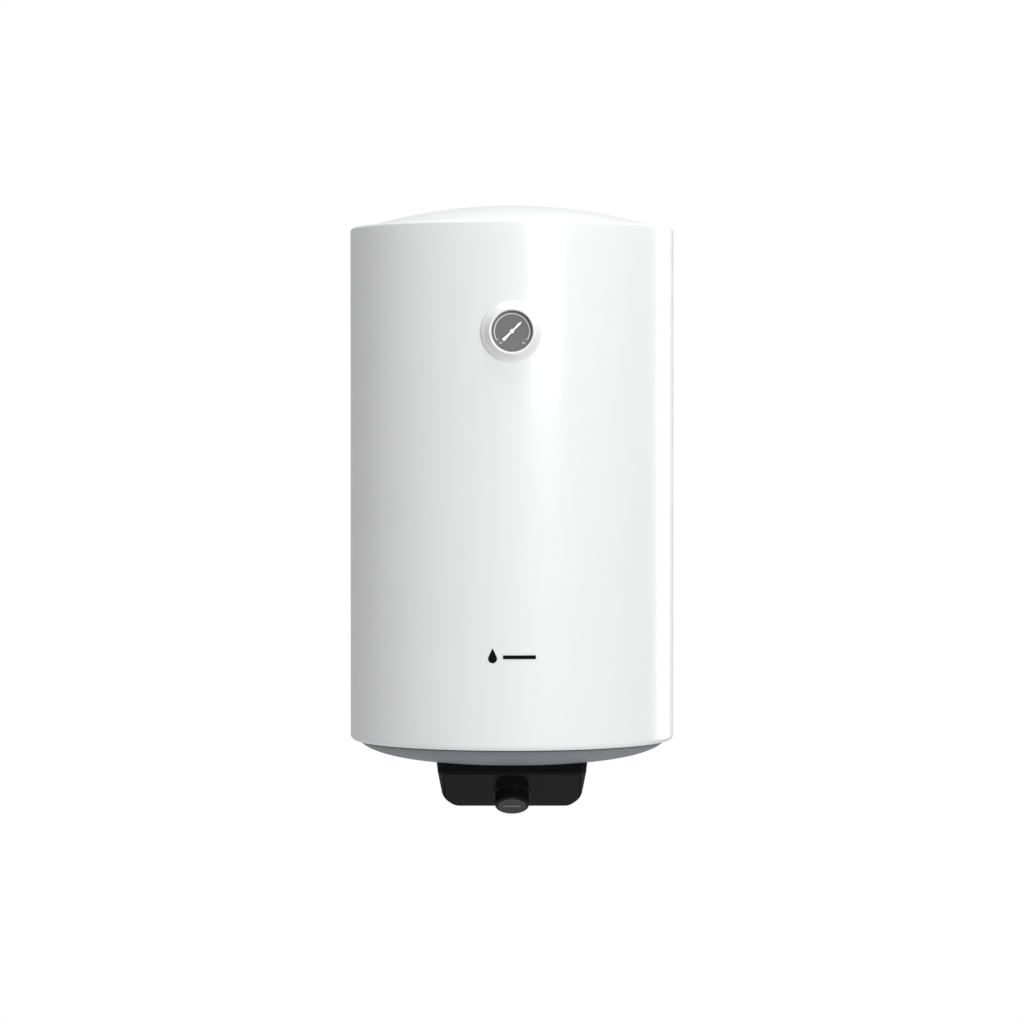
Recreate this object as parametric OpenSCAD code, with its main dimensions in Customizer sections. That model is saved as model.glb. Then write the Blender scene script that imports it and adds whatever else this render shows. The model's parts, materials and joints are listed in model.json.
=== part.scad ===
// Wall-hung electric storage water heater, 80 litre class.
// The origin is midway between the two slots of the upper wall bracket, on the wall plane.
// +Z is up, +Y points into the wall, and +X is to the right of someone facing the heater.
// Each sub-part is drawn in the tank's own frame, with the tank axis on Z, the jacket's
// lower edge at z = 0 and the front at -Y; hang() then moves it to the wall.

/* [Jacket] */
// Outer diameter of the painted steel jacket
jacket_d = 450; // [370:1:545]
// Height of the jacket between its rolled edges
jacket_h = 711; // [590:1:860]
// Thickness of the jacket sheet
jacket_wall = 0.6; // [0.5:0.1:1]
// Radius of the rolled upper edge
top_curl_r = 4; // [3:0.5:6]
// Radius of the rolled lower edge
bottom_curl_r = 8; // [6:0.5:10]

/* [End caps] */
// Width of the groove between the jacket's lower edge and the lower dome
bottom_groove = 5; // [3:0.5:8]
// Width of the flat rim between the jacket's upper edge and the upper dome
top_groove = 12; // [6:1:20]
// Height of the upper dome
top_dome_h = 31.4; // [24:0.1:40]
// Depth of the lower dome
bottom_dome_h = 30.5; // [24:0.1:36]
// Sheet thickness of the steel upper cap
top_cap_wall = 0.8; // [0.6:0.1:1.2]
// Wall thickness of the moulded lower cap
bottom_cap_wall = 2.2; // [1.8:0.1:3]

/* [Tank] */
// Thickness of the foam between the tank and the jacket
side_foam = 29.4; // [24:0.1:36]
// Thickness of the foam over the top of the tank
top_foam = 23; // [18:1:30]
// Height of the tank's lowest point above the lower dome's lowest point
bottom_foam = 22.5; // [18:0.5:24]
// Thickness of the enamelled tank steel
tank_wall = 2; // [1.5:0.1:2.5]
// Height of each dished tank head
head_h = 58; // [48:1:66]

/* [Flange and heater] */
// Bore of the tank's service opening
opening_d = 88; // [86:1:100]
// Outer diameter of the service flange
flange_d = 128; // [125:1:132]
// Pitch circle of the flange studs
stud_pcd = 108; // [106:1:110]
// Number of flange studs
stud_count = 6; // [6:1:6]
// Stud diameter
stud_d = 8; // [6:1:8]
// Thickness of the heater's flange plate
plate_t = 4; // [3:0.5:5]
// Thickness of the rubber gasket
gasket_t = 3; // [2:0.5:4]
// Diameter of the heating element's tube
element_d = 8; // [7:0.5:8.5]
// Height of the heating element above the flange plate
element_h = 300; // [200:5:340]
// Diameter of the magnesium anode
anode_d = 22; // [16:1:24]
// Length of the magnesium anode
anode_l = 230; // [150:5:280]

/* [Water pipes] */
// Distance between the two nipples
pipe_spacing = 100; // [90:1:110]
// Distance of the nipples behind the tank axis
pipe_back = 105; // [102:1:112]
// Outside diameter of the nipple thread
thread_d = 20.96; // [20:0.01:22]
// Length of the nipple thread
thread_l = 16; // [12:1:20]
// Bore of the nipples
pipe_bore = 15; // [13:0.5:16]
// Length of nipple below the lower dome
nipple_drop = 45; // [36:1:52]

/* [Terminal cover] */
// Width of the front fascia
fascia_w = 187.5; // [160:0.5:200]
// Width of the cover where it meets the dome
cover_top_w = 211.5; // [200:0.5:230]
// Distance of the cover's front face from the tank axis
cover_front = 105; // [96:1:115]
// Distance of the cover's rear face from the tank axis
cover_back = 70; // [68:1:76]
// Depth of the cover's floor below the jacket's lower edge
cover_drop = 89.5; // [80:0.5:108]
// Depth of the crease between the upright band and the sloping panel
crease_drop = 39; // [33:1:46]
// Slope of the panel from the horizontal, in degrees
panel_slope = 35; // [30:1:38]
// Radius of the cover's lower corners
cover_corner_r = 22; // [14:1:24]
// Wall of the cover
cover_wall = 2.5; // [2:0.1:3]
// Thickness of the glossy fascia
fascia_t = 2; // [1.5:0.1:2.5]

/* [Knob] */
// Diameter of the knob's grip
knob_d = 46.8; // [38:0.2:57]
// Height of the knob above the panel
knob_h = 22.6; // [19:0.2:26]
// Gap between the ring around the knob and the panel's lower edge
ring_margin = 1.2; // [0.6:0.2:8]
// Turn of the knob each way from its middle setting, in degrees
knob_turn = 135; // [90:5:150]
// Diameter of the thermostat's spindle
spindle_d = 6; // [5:0.5:8]

/* [Gauge] */
// Diameter of the gauge's visible glass
glass_d = 55.6; // [44:0.2:67]
// Diameter of the boss where it meets the jacket
boss_d = 81; // [80:1:100]
// Height of the boss in front of the jacket
boss_h = 13; // [10:0.5:16]
// Distance of the gauge's axis below the jacket's upper edge
gauge_drop = 149.5; // [110:0.5:200]

/* [Wall brackets] */
// Distance of the upper bracket's slots below the jacket's upper edge
bracket_drop = 151; // [120:1:190]
// Height of the lower bracket's slots above the jacket's lower edge
lower_bracket_z = 120; // [100:1:160]
// Distance between the two slots of each bracket
slot_spacing = 220; // [190:1:264]
// Width of each slot, for an M10 wall bolt
slot_w = 11; // [9:0.5:13]
// Length of each slot, end to end
slot_l = 25; // [20:1:30]
// Space between the jacket and the wall
wall_gap = 15; // [13:0.5:20]
// Thickness of the bracket steel
bracket_t = 3; // [2.5:0.5:4]

/* [Hidden] */
$fn = 96;
close_fit = 0.1;   // radial room of a fixed pin or pipe in its hole
turn_fit = 0.05;   // radial room of a shaft that turns
end_gap = 0.15;    // room between a wire's end and what it is clamped to
foam_gap = 0.5;    // room between the foam and the curved steel around it
facet = 32;        // sides of the rounded corners inside a hull
far = 400;         // reach of the cutting solids
fine = 360;        // sides of the wide cylinders that trim small pieces to the jacket

jacket_r = jacket_d / 2;
jacket_inner = jacket_r - jacket_wall;
bottom_dome_r = jacket_r - bottom_curl_r - bottom_groove;
top_dome_r = jacket_r - top_curl_r - top_groove;
brim_r = jacket_inner - close_fit;

tank_r = jacket_inner - side_foam;
tank_low = bottom_foam - bottom_dome_h;
tank_high = jacket_h + top_dome_h - top_foam;

ring_r = flange_d / 2;
ring_face = tank_low - 9;
gasket_face = ring_face - gasket_t;
plate_face = gasket_face - plate_t;
nut_h = 6.5;
stud_tip = plate_face - nut_h - 5;
element_y = -18;
element_pitch = 16;
well_at = [-14, 20];
well_r = 5;
well_h = 250;
anode_at = [17, 21];
cutout_r = 8.5;
cutout_h = 13;
reset_r = 2.5;
reset_travel = 2;

pipe_x = pipe_spacing / 2;
nipple_tip = -bottom_dome_h - nipple_drop;
diffuser_r = thread_d / 2 + close_fit + 3;
spud_top = head_inside(norm([pipe_x, pipe_back]) + diffuser_r) + 7;
dip_r = pipe_bore / 2 - 0.2;
plug_spot = [-cover_top_w / 2 - 26, cover_back + 5];
plug_z = -dome(norm(plug_spot), bottom_dome_r, bottom_dome_h, 3.2, 1.6);

panel_out = 90 - panel_slope;
slope_run = (cover_drop - crease_drop) / tan(panel_slope);
fascia_foot = cover_front - slope_run;
knob_r = knob_d / 2;
knob_skirt_r = knob_r + 3.2;
face_r = knob_r - 5.2;
plate_ring_r = knob_skirt_r + 8.2;
knob_up = plate_ring_r + ring_margin;
knob_seat = [0, -(fascia_foot + knob_up * cos(panel_slope)), -cover_drop + knob_up * sin(panel_slope)];
thermostat_back = fascia_t + cover_wall + 0.2;
thermostat_w = 38;
thermostat_t = 22;
post_at = [64, 48];
post_r = 5;
gland_z = -62;
gland_bore_r = 4.2;
gland_thread_r = 8;
gland_in = 10;
gland_out = 20;
block_at = [83, 10];
earth_at = [36, 14];

gauge_z = jacket_h - gauge_drop;
glass_r = glass_d / 2;
lens_t = 1.6;
case_r = glass_r - 0.3;
neck_r = glass_r + 1.8;
dial_face = 7.3;
case_back = -12;
clip_r = neck_r + 5;
clip_seat = sqrt(pow(jacket_inner, 2) - pow(clip_r, 2)) - jacket_r - 0.2;

bracket_z = jacket_h - bracket_drop;
wall_y = jacket_r + wall_gap;
bracket_h = 50;
web_stand = 1;
bolt_x = 45;
bolt_d = 8;
badge_z = 126;

// ---- shapes shared by several sub-parts ----

// Points on an arc about (cx, cy), from angle a0 to a1 in n steps.
function arc(cx, cy, r, a0, a1, n = 6) =
    [for (i = [0 : n]) let (a = a0 + (a1 - a0) * i / n) [cx + r * cos(a), cy + r * sin(a)]];

// Height of a dome of radius r_max and height h at radius r; p rounds the crown, q the shoulder.
function dome(r, r_max, h, p, q) = h * pow(max(0, 1 - pow(r / r_max, p)), 1 / q);

// Profile of that dome from its crown to its rim.
function dome_line(r_max, h, p, q, n = 18) =
    [for (i = [0 : n]) let (r = r_max * sin(90 * i / n)) [r, dome(r, r_max, h, p, q)]];

function reversed(list) = [for (i = [len(list) - 1 : -1 : 0]) list[i]];
function raised(list, dz) = [for (p = list) [p[0], p[1] + dz]];
function flipped(list) = [for (p = list) [p[0], -p[1]]];

// The lower dome grown or shrunk all over, and the two tank heads.
function bottom_line(grow) = dome_line(bottom_dome_r + grow, bottom_dome_h + grow, 3.2, 1.6);
function top_line(grow) = dome_line(top_dome_r + grow, top_dome_h + grow, 2, 1);
function head_line(grow) = dome_line(tank_r + grow, head_h + grow, 2, 2, 14);

// Height of the lower tank head's inner and outer surface at radius r.
function head_inside(r) = tank_low + head_h
    - (head_h - tank_wall) * sqrt(1 - pow(r / (tank_r - tank_wall), 2));
function head_outside(r) = tank_low + head_h - head_h * sqrt(1 - pow(r / tank_r, 2));

// A point on a smooth curve through the route's points.
function between(a, b, c, d, t) = 0.5 * (2 * b + (c - a) * t + (2 * a - 5 * b + 4 * c - d) * t * t
    + (3 * b - a - 3 * c + d) * t * t * t);
function smooth(p, steps = 4) = [for (i = [0 : len(p) - 2]) for (s = [0 : steps - 1])
    between(p[max(i - 1, 0)], p[i], p[i + 1], p[min(i + 2, len(p) - 1)], s / steps), p[len(p) - 1]];
function unit(v) = v / norm(v);
function heading(p, i) = unit(p[min(i + 1, len(p) - 1)] - p[max(i - 1, 0)]);
function sideways(p, i) = let (t = heading(p, i),
    s = i == 0 ? cross(t, abs(t[2]) > 0.9 ? [1, 0, 0] : [0, 0, 1]) : sideways(p, i - 1))
    unit(s - (s * t) * t);

// A round wire along the route.
module wire(route, d, sides = 8) {
    p = smooth(route);
    n = len(p);
    rings = [for (i = [0 : n - 1]) let (t = heading(p, i), s = sideways(p, i), u = cross(t, s))
        for (k = [0 : sides - 1]) p[i] + d / 2 * (s * cos(360 * k / sides) + u * sin(360 * k / sides))];
    polyhedron(rings, concat(
        [[for (k = [sides - 1 : -1 : 0]) k]],
        [for (i = [0 : n - 2]) for (k = [0 : sides - 1]) let (j = (k + 1) % sides)
            [i * sides + k, i * sides + j, (i + 1) * sides + j, (i + 1) * sides + k]],
        [[for (k = [0 : sides - 1]) (n - 1) * sides + k]]));
}

module tube(outer_r, inner_r, h) {
    difference() {
        cylinder(r = outer_r, h = h);
        translate([0, 0, -1]) cylinder(r = inner_r, h = h + 2);
    }
}

module hex_nut(across, h, bore_r) {
    difference() {
        cylinder(d = across / cos(30), h = h, $fn = 6);
        translate([0, 0, -1]) cylinder(r = bore_r, h = h + 2);
    }
}

// Children once at each flange stud.
module at_studs() {
    for (i = [0 : stud_count - 1])
        rotate([0, 0, 360 * i / stud_count]) translate([stud_pcd / 2, 0, 0]) children();
}

module at_pipe(side) {
    translate([side * pipe_x, pipe_back, 0]) children();
}

// Children on the sloping panel: local Z is the knob's axis, out of the panel.
module on_panel() {
    translate(knob_seat) rotate([90 + panel_out, 0, 0]) children();
}

// Children on the gauge's axis: local Z points out of the jacket, local Y is up.
module on_gauge() {
    translate([0, -jacket_r, gauge_z]) rotate([90, 0, 0]) children();
}

// The solid inside the lower dome's outer surface, grown all over.
module dome_solid(grow = 0) {
    rotate_extrude() polygon(concat(flipped(bottom_line(grow)), [[bottom_dome_r + grow, 30], [0, 30]]));
}

// The solid inside the tank's outer surface, grown all over.
module tank_solid(grow = 0) {
    rotate_extrude() polygon(concat(
        raised(flipped(head_line(grow)), tank_low + head_h),
        raised(reversed(head_line(grow)), tank_high - head_h)));
}

module upper_and_lower() {
    translate([0, 0, bracket_z]) children();
    translate([0, 0, lower_bracket_z]) children();
}

module bracket_bolt_holes(r) {
    upper_and_lower() for (x = [-bolt_x, bolt_x])
        translate([x, 0, 0]) rotate([-90, 0, 0]) cylinder(r = r, h = far);
}

// ---- casing ----

module jacket() {
    low = [jacket_r - bottom_curl_r, bottom_curl_r];
    high = [jacket_r - top_curl_r, jacket_h - top_curl_r];
    color("white") difference() {
        rotate_extrude() polygon(concat(
            arc(low[0], low[1], bottom_curl_r, -90, 0),
            arc(high[0], high[1], top_curl_r, 0, 90),
            arc(high[0], high[1], top_curl_r - jacket_wall, 90, 0),
            arc(low[0], low[1], bottom_curl_r - jacket_wall, 0, -90)));
        on_gauge() translate([0, 0, -jacket_r / 2]) cylinder(r = neck_r + 0.4, h = jacket_r);
        bracket_bolt_holes(bolt_d / 2 + close_fit);
    }
}

// A domed cap with a flange that drops inside the jacket and a brim behind its rolled edge.
module cap(line, inner_line, r, depth, wall) {
    rotate_extrude() polygon(concat(line,
        [[r, -depth], [brim_r, -depth], [brim_r, -depth - wall], [r - wall, -depth - wall]],
        reversed(inner_line)));
}

module top_cap() {
    color("white") translate([0, 0, jacket_h])
        cap(top_line(0), top_line(-top_cap_wall), top_dome_r, top_curl_r, top_cap_wall);
}

module bottom_cap() {
    color("slategray") difference() {
        union() {
            mirror([0, 0, 1]) cap(bottom_line(0), bottom_line(-bottom_cap_wall), bottom_dome_r,
                bottom_curl_r, bottom_cap_wall);
            difference() {
                for (side = [-1, 1]) translate([side * post_at[0], post_at[1], -cover_drop + cover_wall])
                    cylinder(r = post_r, h = cover_drop - cover_wall - 20);
                dome_solid(-bottom_cap_wall);
            }
        }
        translate([0, 0, -far / 2]) cylinder(r = ring_r + 4, h = far);
        for (side = [-1, 1]) {
            at_pipe(side) translate([0, 0, -far / 2]) cylinder(r = thread_d / 2 + 1.5, h = far);
            translate([side * post_at[0], post_at[1], -cover_drop]) cylinder(r = 1.7, h = 22);
        }
        plug_at() cylinder(r = 9, h = 60, center = true);
    }
}

// Place of the foam filling hole, beside the cover and behind it.
module plug_at() {
    translate([plug_spot[0], plug_spot[1], plug_z]) children();
}

module foam_insulation() {
    line_low = bottom_line(-bottom_cap_wall - foam_gap);
    line_high = top_line(-top_cap_wall - foam_gap);
    brim_low = bottom_curl_r + bottom_cap_wall;
    brim_high = jacket_h - top_curl_r - top_cap_wall;
    low_r = line_low[len(line_low) - 1][0];
    high_r = line_high[len(line_high) - 1][0];
    color("khaki") difference() {
        rotate_extrude() polygon(concat(flipped(line_low),
            [[low_r, brim_low], [brim_r, brim_low], [brim_r, brim_high], [high_r, brim_high]],
            raised(reversed(line_high), jacket_h)));
        tank_solid(foam_gap);
        translate([0, 0, -far]) cylinder(r = ring_r + 2, h = far + tank_low + head_h / 2);
        for (side = [-1, 1])
            at_pipe(side) translate([0, 0, -far])
                cylinder(r = thread_d / 2 + 1, h = far + tank_low + head_h);
        plug_at() translate([0, 0, -30]) cylinder(r = 9, h = 40);
        on_gauge() {
            translate([0, 0, case_back - 4]) cylinder(r = neck_r + 8, h = 40);
            translate([0, 0, -far / 4]) cylinder(r = 5, h = far / 4);
        }
        bracket_bolt_holes(bolt_d / 2 + 1);
    }
}

module foam_plug() {
    color("dimgray") difference() {
        plug_at() translate([0, 0, -7]) {
            cylinder(r = 11.5, h = 12);
            cylinder(r = 8.8, h = 16);
        }
        difference() {
            dome_solid(close_fit);
            plug_at() cylinder(r = 8.8, h = 60, center = true);
        }
    }
}

// ---- tank and flange ----

module inner_tank() {
    color("steelblue") difference() {
        tank_solid();
        rotate_extrude() polygon(concat(
            raised(flipped(head_line(-tank_wall)), tank_low + head_h),
            raised(reversed(head_line(-tank_wall)), tank_high - head_h)));
        translate([0, 0, tank_low - 1]) cylinder(d = opening_d, h = 20);
        for (side = [-1, 1])
            at_pipe(side) translate([0, 0, tank_low]) cylinder(r = thread_d / 2 + close_fit, h = head_h);
    }
}

module flange_ring() {
    color("steelblue") difference() {
        translate([0, 0, ring_face]) tube(ring_r, opening_d / 2, head_outside(ring_r) - ring_face);
        tank_solid();
    }
}

module flange_studs() {
    color("silver") at_studs() translate([0, 0, stud_tip]) cylinder(d = stud_d, h = ring_face - stud_tip);
}

module flange_nuts() {
    color("silver") at_studs() translate([0, 0, plate_face - nut_h])
        hex_nut(13, nut_h, stud_d / 2 + close_fit);
}

module flange_gasket() {
    color("black") translate([0, 0, gasket_face]) difference() {
        tube(ring_r, opening_d / 2 - 1, gasket_t);
        at_studs() translate([0, 0, -1]) cylinder(d = stud_d + 2 * close_fit, h = gasket_t + 2);
    }
}

module heater_flange() {
    color("lightsteelblue") translate([0, 0, plate_face]) difference() {
        cylinder(r = ring_r, h = plate_t);
        at_studs() translate([0, 0, -1]) cylinder(d = stud_d + 2 * close_fit, h = plate_t + 2);
        for (x = [-1.5, 1.5]) translate([x * element_pitch, element_y, -1])
            cylinder(d = element_d + 2 * close_fit, h = plate_t + 2);
        translate([well_at[0], well_at[1], -1]) cylinder(r = well_r + close_fit, h = plate_t + 2);
        translate([anode_at[0], anode_at[1], -1]) cylinder(r = 3 + close_fit, h = plate_t + 2);
    }
}

// One half turn of the element's tube, opening downwards for up = 1.
module element_bend(up) {
    bend_r = element_pitch / 2;
    rotate([up > 0 ? 90 : -90, 0, 0]) rotate_extrude(angle = 180)
        translate([bend_r, 0]) circle(d = element_d);
}

module heating_element() {
    straight_top = element_h - element_pitch / 2 - element_d / 2 + plate_face;
    turn_low = plate_face + 90;
    foot = plate_face - 6;
    color("peru") union() {
        for (x = [-1.5, 1.5]) translate([x * element_pitch, element_y, foot])
            cylinder(d = element_d, h = straight_top - foot);
        for (x = [-0.5, 0.5]) translate([x * element_pitch, element_y, turn_low])
            cylinder(d = element_d, h = straight_top - turn_low);
        for (x = [-1, 1]) translate([x * element_pitch, element_y, straight_top]) element_bend(1);
        translate([0, element_y, turn_low]) element_bend(-1);
    }
}

// Ceramic beads and screw pins below the element's two ends.
module element_terminals() {
    color("ivory") for (x = [-1.5, 1.5]) translate([x * element_pitch, element_y, plate_face - 18]) {
        translate([0, 0, 6]) cylinder(r = 5, h = 6);
        cylinder(r = 1.5, h = 6);
    }
}

module anode_rod() {
    color("gainsboro") translate([anode_at[0], anode_at[1], 0]) {
        translate([0, 0, plate_face + plate_t]) cylinder(d = anode_d, h = anode_l);
        translate([0, 0, plate_face - 9]) cylinder(r = 3, h = 9 + plate_t);
    }
}

module anode_nut() {
    color("silver") translate([anode_at[0], anode_at[1], plate_face - 5]) hex_nut(10, 5, 3 + close_fit);
}

module sensor_well() {
    color("goldenrod") translate([well_at[0], well_at[1], plate_face - 3]) difference() {
        cylinder(r = well_r, h = well_h);
        translate([0, 0, -1]) cylinder(r = well_r - 0.8, h = well_h - 1);
    }
}

module sensor_bulb() {
    color("peru") translate([well_at[0], well_at[1], plate_face + 90]) cylinder(r = 3.4, h = 120);
}

module sensor_capillary() {
    x = well_at[0];
    y = well_at[1];
    side = on_panel_point(-thermostat_w / 2, 0);
    color("peru") wire([[x, y, plate_face + 90], [x, y, plate_face + 30], [x, y, plate_face - 2],
        [x - 5, y - 3, plate_face - 9], [-29, 4, -37], [-31, -14, -40], [-31, -34, -47],
        side - [7, 0, 0], side - [end_gap, 0, 0]], 1.8);
}

// A point on the side of the thermostat, at local x and y on the panel, in the tank's frame.
function on_panel_point(x, y, depth = 12) = knob_seat + [x,
    -y * cos(panel_slope) + depth * sin(panel_slope), y * sin(panel_slope) + depth * cos(panel_slope)];

// ---- water pipes ----

// A threaded end below a shallow groove, and a plain pipe up into the tank.
module nipple(side) {
    at_pipe(side) translate([0, 0, nipple_tip]) difference() {
        tube(thread_d / 2, pipe_bore / 2, spud_top - nipple_tip);
        translate([0, 0, thread_l]) tube(thread_d, thread_d / 2 - 0.9, 2);
    }
}

module cold_nipple() {
    color("silver") nipple(1);
}

module hot_nipple() {
    color("silver") nipple(-1);
}

module cold_diffuser() {
    seat_r = thread_d / 2 + close_fit;
    color("whitesmoke") at_pipe(1) difference() {
        translate([0, 0, spud_top - 6]) cylinder(r = diffuser_r, h = 30);
        translate([0, 0, spud_top - 7]) cylinder(r = seat_r, h = 7);
        translate([0, 0, spud_top - 1]) cylinder(r = pipe_bore / 2, h = 23);
        for (a = [0, 90]) rotate([0, 0, a]) translate([-25, -5, spud_top + 8]) cube([50, 10, 10]);
    }
}

module hot_outlet_tube() {
    top = tank_high - 30;
    color("whitesmoke") at_pipe(-1) {
        translate([0, 0, -20]) tube(dip_r, dip_r - 1.4, top + 20);
        translate([0, 0, spud_top]) tube(thread_d / 2, dip_r - 0.2, 2);
    }
}

// A coloured washer under the lower dome, cut to lie against it.
module collar(side) {
    difference() {
        at_pipe(side) translate([0, 0, -bottom_dome_h - 4])
            tube(thread_d / 2 + 8.5, thread_d / 2 + close_fit, 22);
        dome_solid(close_fit);
    }
}

module cold_collar() {
    color("royalblue") collar(1);
}

module hot_collar() {
    color("firebrick") collar(-1);
}

// ---- controls under the cover ----

module thermal_cutout() {
    color("saddlebrown") difference() {
        translate([0, 1, plate_face - cutout_h]) cylinder(r = cutout_r, h = cutout_h);
        translate([0, 1, plate_face - cutout_h - 1]) cylinder(r = reset_r + turn_fit, h = 9);
    }
}

module reset_button() {
    color("red") translate([0, 1, plate_face - cutout_h - 4]) cylinder(r = reset_r, h = 9);
}

module thermostat() {
    color("tan") on_panel() difference() {
        union() {
            translate([-thermostat_w / 2, -thermostat_w / 2, -thermostat_back - thermostat_t])
                cube([thermostat_w, thermostat_w, thermostat_t]);
            translate([0, 0, -thermostat_back - 1]) cylinder(r = 4.6, h = thermostat_back - 1);
        }
        translate([0, 0, -thermostat_back - 12]) cylinder(d = spindle_d + 2 * turn_fit, h = 40);
        for (x = [-14, 14]) translate([x, 0, -thermostat_back - 8]) cylinder(r = 1.5 + close_fit, h = 20);
    }
}

module thermostat_screws() {
    color("silver") on_panel() for (x = [-14, 14]) translate([x, 0, 0]) {
        translate([0, 0, -thermostat_back - 7]) cylinder(r = 1.5, h = thermostat_back + 7);
        cylinder(r = 3.2, h = 1.8);
    }
}

module thermostat_spindle() {
    color("silver") on_panel() translate([0, 0, -thermostat_back - 11])
        cylinder(d = spindle_d, h = thermostat_back + 11 + knob_h - 6);
}

module control_knob() {
    base = 1.6;
    hub_r = spindle_d / 2 + 3.5;
    color("black") on_panel() difference() {
        rotate_extrude() polygon([[0, base], [knob_skirt_r, base], [knob_skirt_r, base + 1.2],
            [knob_skirt_r - 0.8, base + 2], [knob_r + 0.2, base + 2.2], [knob_r, knob_h - 1.7],
            [knob_r - 0.8, knob_h - 1.1], [face_r + 0.6, knob_h - 0.2], [face_r, knob_h - 0.2],
            [0, knob_h - 0.2]]);
        translate([0, 0, base - 1]) difference() {
            cylinder(r = knob_r - 2.6, h = knob_h - base - 3.6);
            cylinder(r = hub_r, h = knob_h);
        }
        translate([0, 0, base - 1]) cylinder(d = spindle_d + 0.04, h = knob_h - base - 4.9);
        translate([0, 0, knob_h - 1.2]) cylinder(r = face_r - 0.4, h = 5);
    }
}

module knob_cap() {
    color("dimgray") on_panel() {
        translate([0, 0, knob_h - 1.2]) cylinder(r = face_r - 0.5, h = 0.8);
        translate([-13, -2.2, knob_h - 0.5]) cube([26, 4.4, 0.5]);
    }
}

module knob_dial_plate() {
    color("dimgray") on_panel() rotate_extrude() polygon([[20, 0], [plate_ring_r, 0],
        [plate_ring_r - 0.6, 0.6], [plate_ring_r - 2.6, 0.9], [20, 0.9]]);
}

// ---- terminal cover ----

// Half width of the cover's sides at height z, which lean in towards its floor.
function side_x(z, inset) = fascia_w / 2 + (cover_top_w - fascia_w) / 2
    * (z + cover_drop) / (cover_drop - 12) - inset;

// A thin slice of the cover at height z, with rounded upright corners.
module cover_slice(z, inset) {
    front_r = 9 - inset;
    back_r = 14 - inset;
    front = cover_front - fascia_t - inset;
    back = cover_back - inset;
    for (side = [-1, 1]) {
        translate([side * (side_x(z, inset) - front_r), -front + front_r, z])
            cylinder(r = front_r, h = 0.01, $fn = facet);
        translate([side * (side_x(z, inset) - back_r), back - back_r, z])
            cylinder(r = back_r, h = 0.01, $fn = facet);
    }
}

// The cover as a solid: upright at the top, sloping at the front, with round lower edges.
module cover_body(inset) {
    crease = -crease_drop + (fascia_t + inset) * tan(panel_out / 2);
    foot = fascia_foot - (fascia_t + inset) / sin(panel_slope) + inset / tan(panel_slope);
    corner_r = cover_corner_r - inset;
    hull() {
        cover_slice(-12, inset);
        cover_slice(crease, inset);
        for (side = [-1, 1])
            translate([side * (fascia_w / 2 - cover_corner_r), -foot, -cover_drop + cover_corner_r])
                rotate([-90, 0, 0]) cylinder(r = corner_r, h = foot + cover_back - inset, $fn = facet);
    }
}

module terminal_cover() {
    color("black") difference() {
        cover_body(0);
        cover_body(cover_wall);
        translate([0, 0, -12.5]) cube([far, far, 2], center = true);
        dome_solid(0.3);
        on_panel() {
            cylinder(r = 5, h = 20, center = true);
            for (x = [-14, 14]) translate([x, 0, 0]) cylinder(r = 1.5 + close_fit, h = 20, center = true);
        }
        for (side = [-1, 1]) translate([side * post_at[0], post_at[1], -cover_drop - 1]) {
            cylinder(r = 2.1, h = 8);
            cylinder(r = 4.2, h = 2.2);
        }
        translate([0, 0, gland_z]) rotate([-90, 0, 0]) cylinder(r = gland_thread_r + close_fit, h = far);
    }
}

// Glossy bent plate over the cover's front: an upright band above the sloping panel.
module fascia() {
    bend = fascia_t * tan(panel_out / 2);
    color("black") difference() {
        intersection() {
            rotate([90, 0, 90]) translate([0, 0, -fascia_w / 2]) linear_extrude(height = fascia_w)
                polygon([[-cover_front, -12], [-cover_front, -crease_drop], [-fascia_foot, -cover_drop],
                    [-fascia_foot + fascia_t / sin(panel_slope), -cover_drop],
                    [-cover_front + fascia_t, -crease_drop + bend], [-cover_front + fascia_t, -12]]);
            rotate([90, 0, 0]) linear_extrude(height = far) union() {
                for (side = [-1, 1])
                    translate([side * (fascia_w / 2 - cover_corner_r), cover_corner_r - cover_drop])
                        circle(r = cover_corner_r);
                translate([-fascia_w / 2, cover_corner_r - cover_drop]) square([fascia_w, cover_drop]);
                translate([cover_corner_r - fascia_w / 2, -cover_drop])
                    square([fascia_w - 2 * cover_corner_r, cover_corner_r + 1]);
            }
        }
        dome_solid(0.3);
        on_panel() {
            cylinder(r = 5, h = 20, center = true);
            for (x = [-14, 14]) translate([x, 0, 0]) cylinder(r = 1.5 + close_fit, h = 20, center = true);
        }
    }
}

module cover_screws() {
    color("silver") for (side = [-1, 1]) translate([side * post_at[0], post_at[1], -cover_drop + 1.2]) {
        translate([0, 0, -1]) cylinder(r = 3.9, h = 1);
        cylinder(r = 1.6, h = 18);
    }
}

// Threaded gland in the cover's rear wall, for the supply cord.
module cable_gland() {
    color("black") translate([0, cover_back, gland_z]) rotate([-90, 0, 0]) difference() {
        union() {
            translate([0, 0, -gland_in]) cylinder(r = gland_thread_r, h = gland_in);
            cylinder(d = 22, h = 5, $fn = 6);
            translate([0, 0, 5]) cylinder(r1 = 10, r2 = 8, h = gland_out - 5);
        }
        translate([0, 0, -gland_in - 1]) cylinder(r = gland_bore_r, h = gland_in + gland_out + 2);
    }
}

module gland_locknut() {
    color("black") translate([0, cover_back - cover_wall, gland_z]) rotate([90, 0, 0])
        hex_nut(20, 4, gland_thread_r + close_fit);
}

module terminal_block() {
    color("ivory") difference() {
        translate([block_at[0] - 10, block_at[1] - 20, -46]) cube([20, 40, 25]);
        dome_solid(close_fit);
        for (y = [-12, 0, 12]) translate([block_at[0], block_at[1] + y, -47]) cylinder(r = 2.5, h = 8);
    }
}

// ---- wiring under the cover ----

module wire_live() {
    side = on_panel_point(thermostat_w / 2, 6);
    color("saddlebrown") wire([[block_at[0], block_at[1] - 12, -40], [block_at[0], block_at[1] - 12, -49],
        [76, -8, -56], [60, -22, -58], [42, -36, -56], side + [8, 0, 0], side + [end_gap, 0, 0]], 2.6);
}

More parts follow.
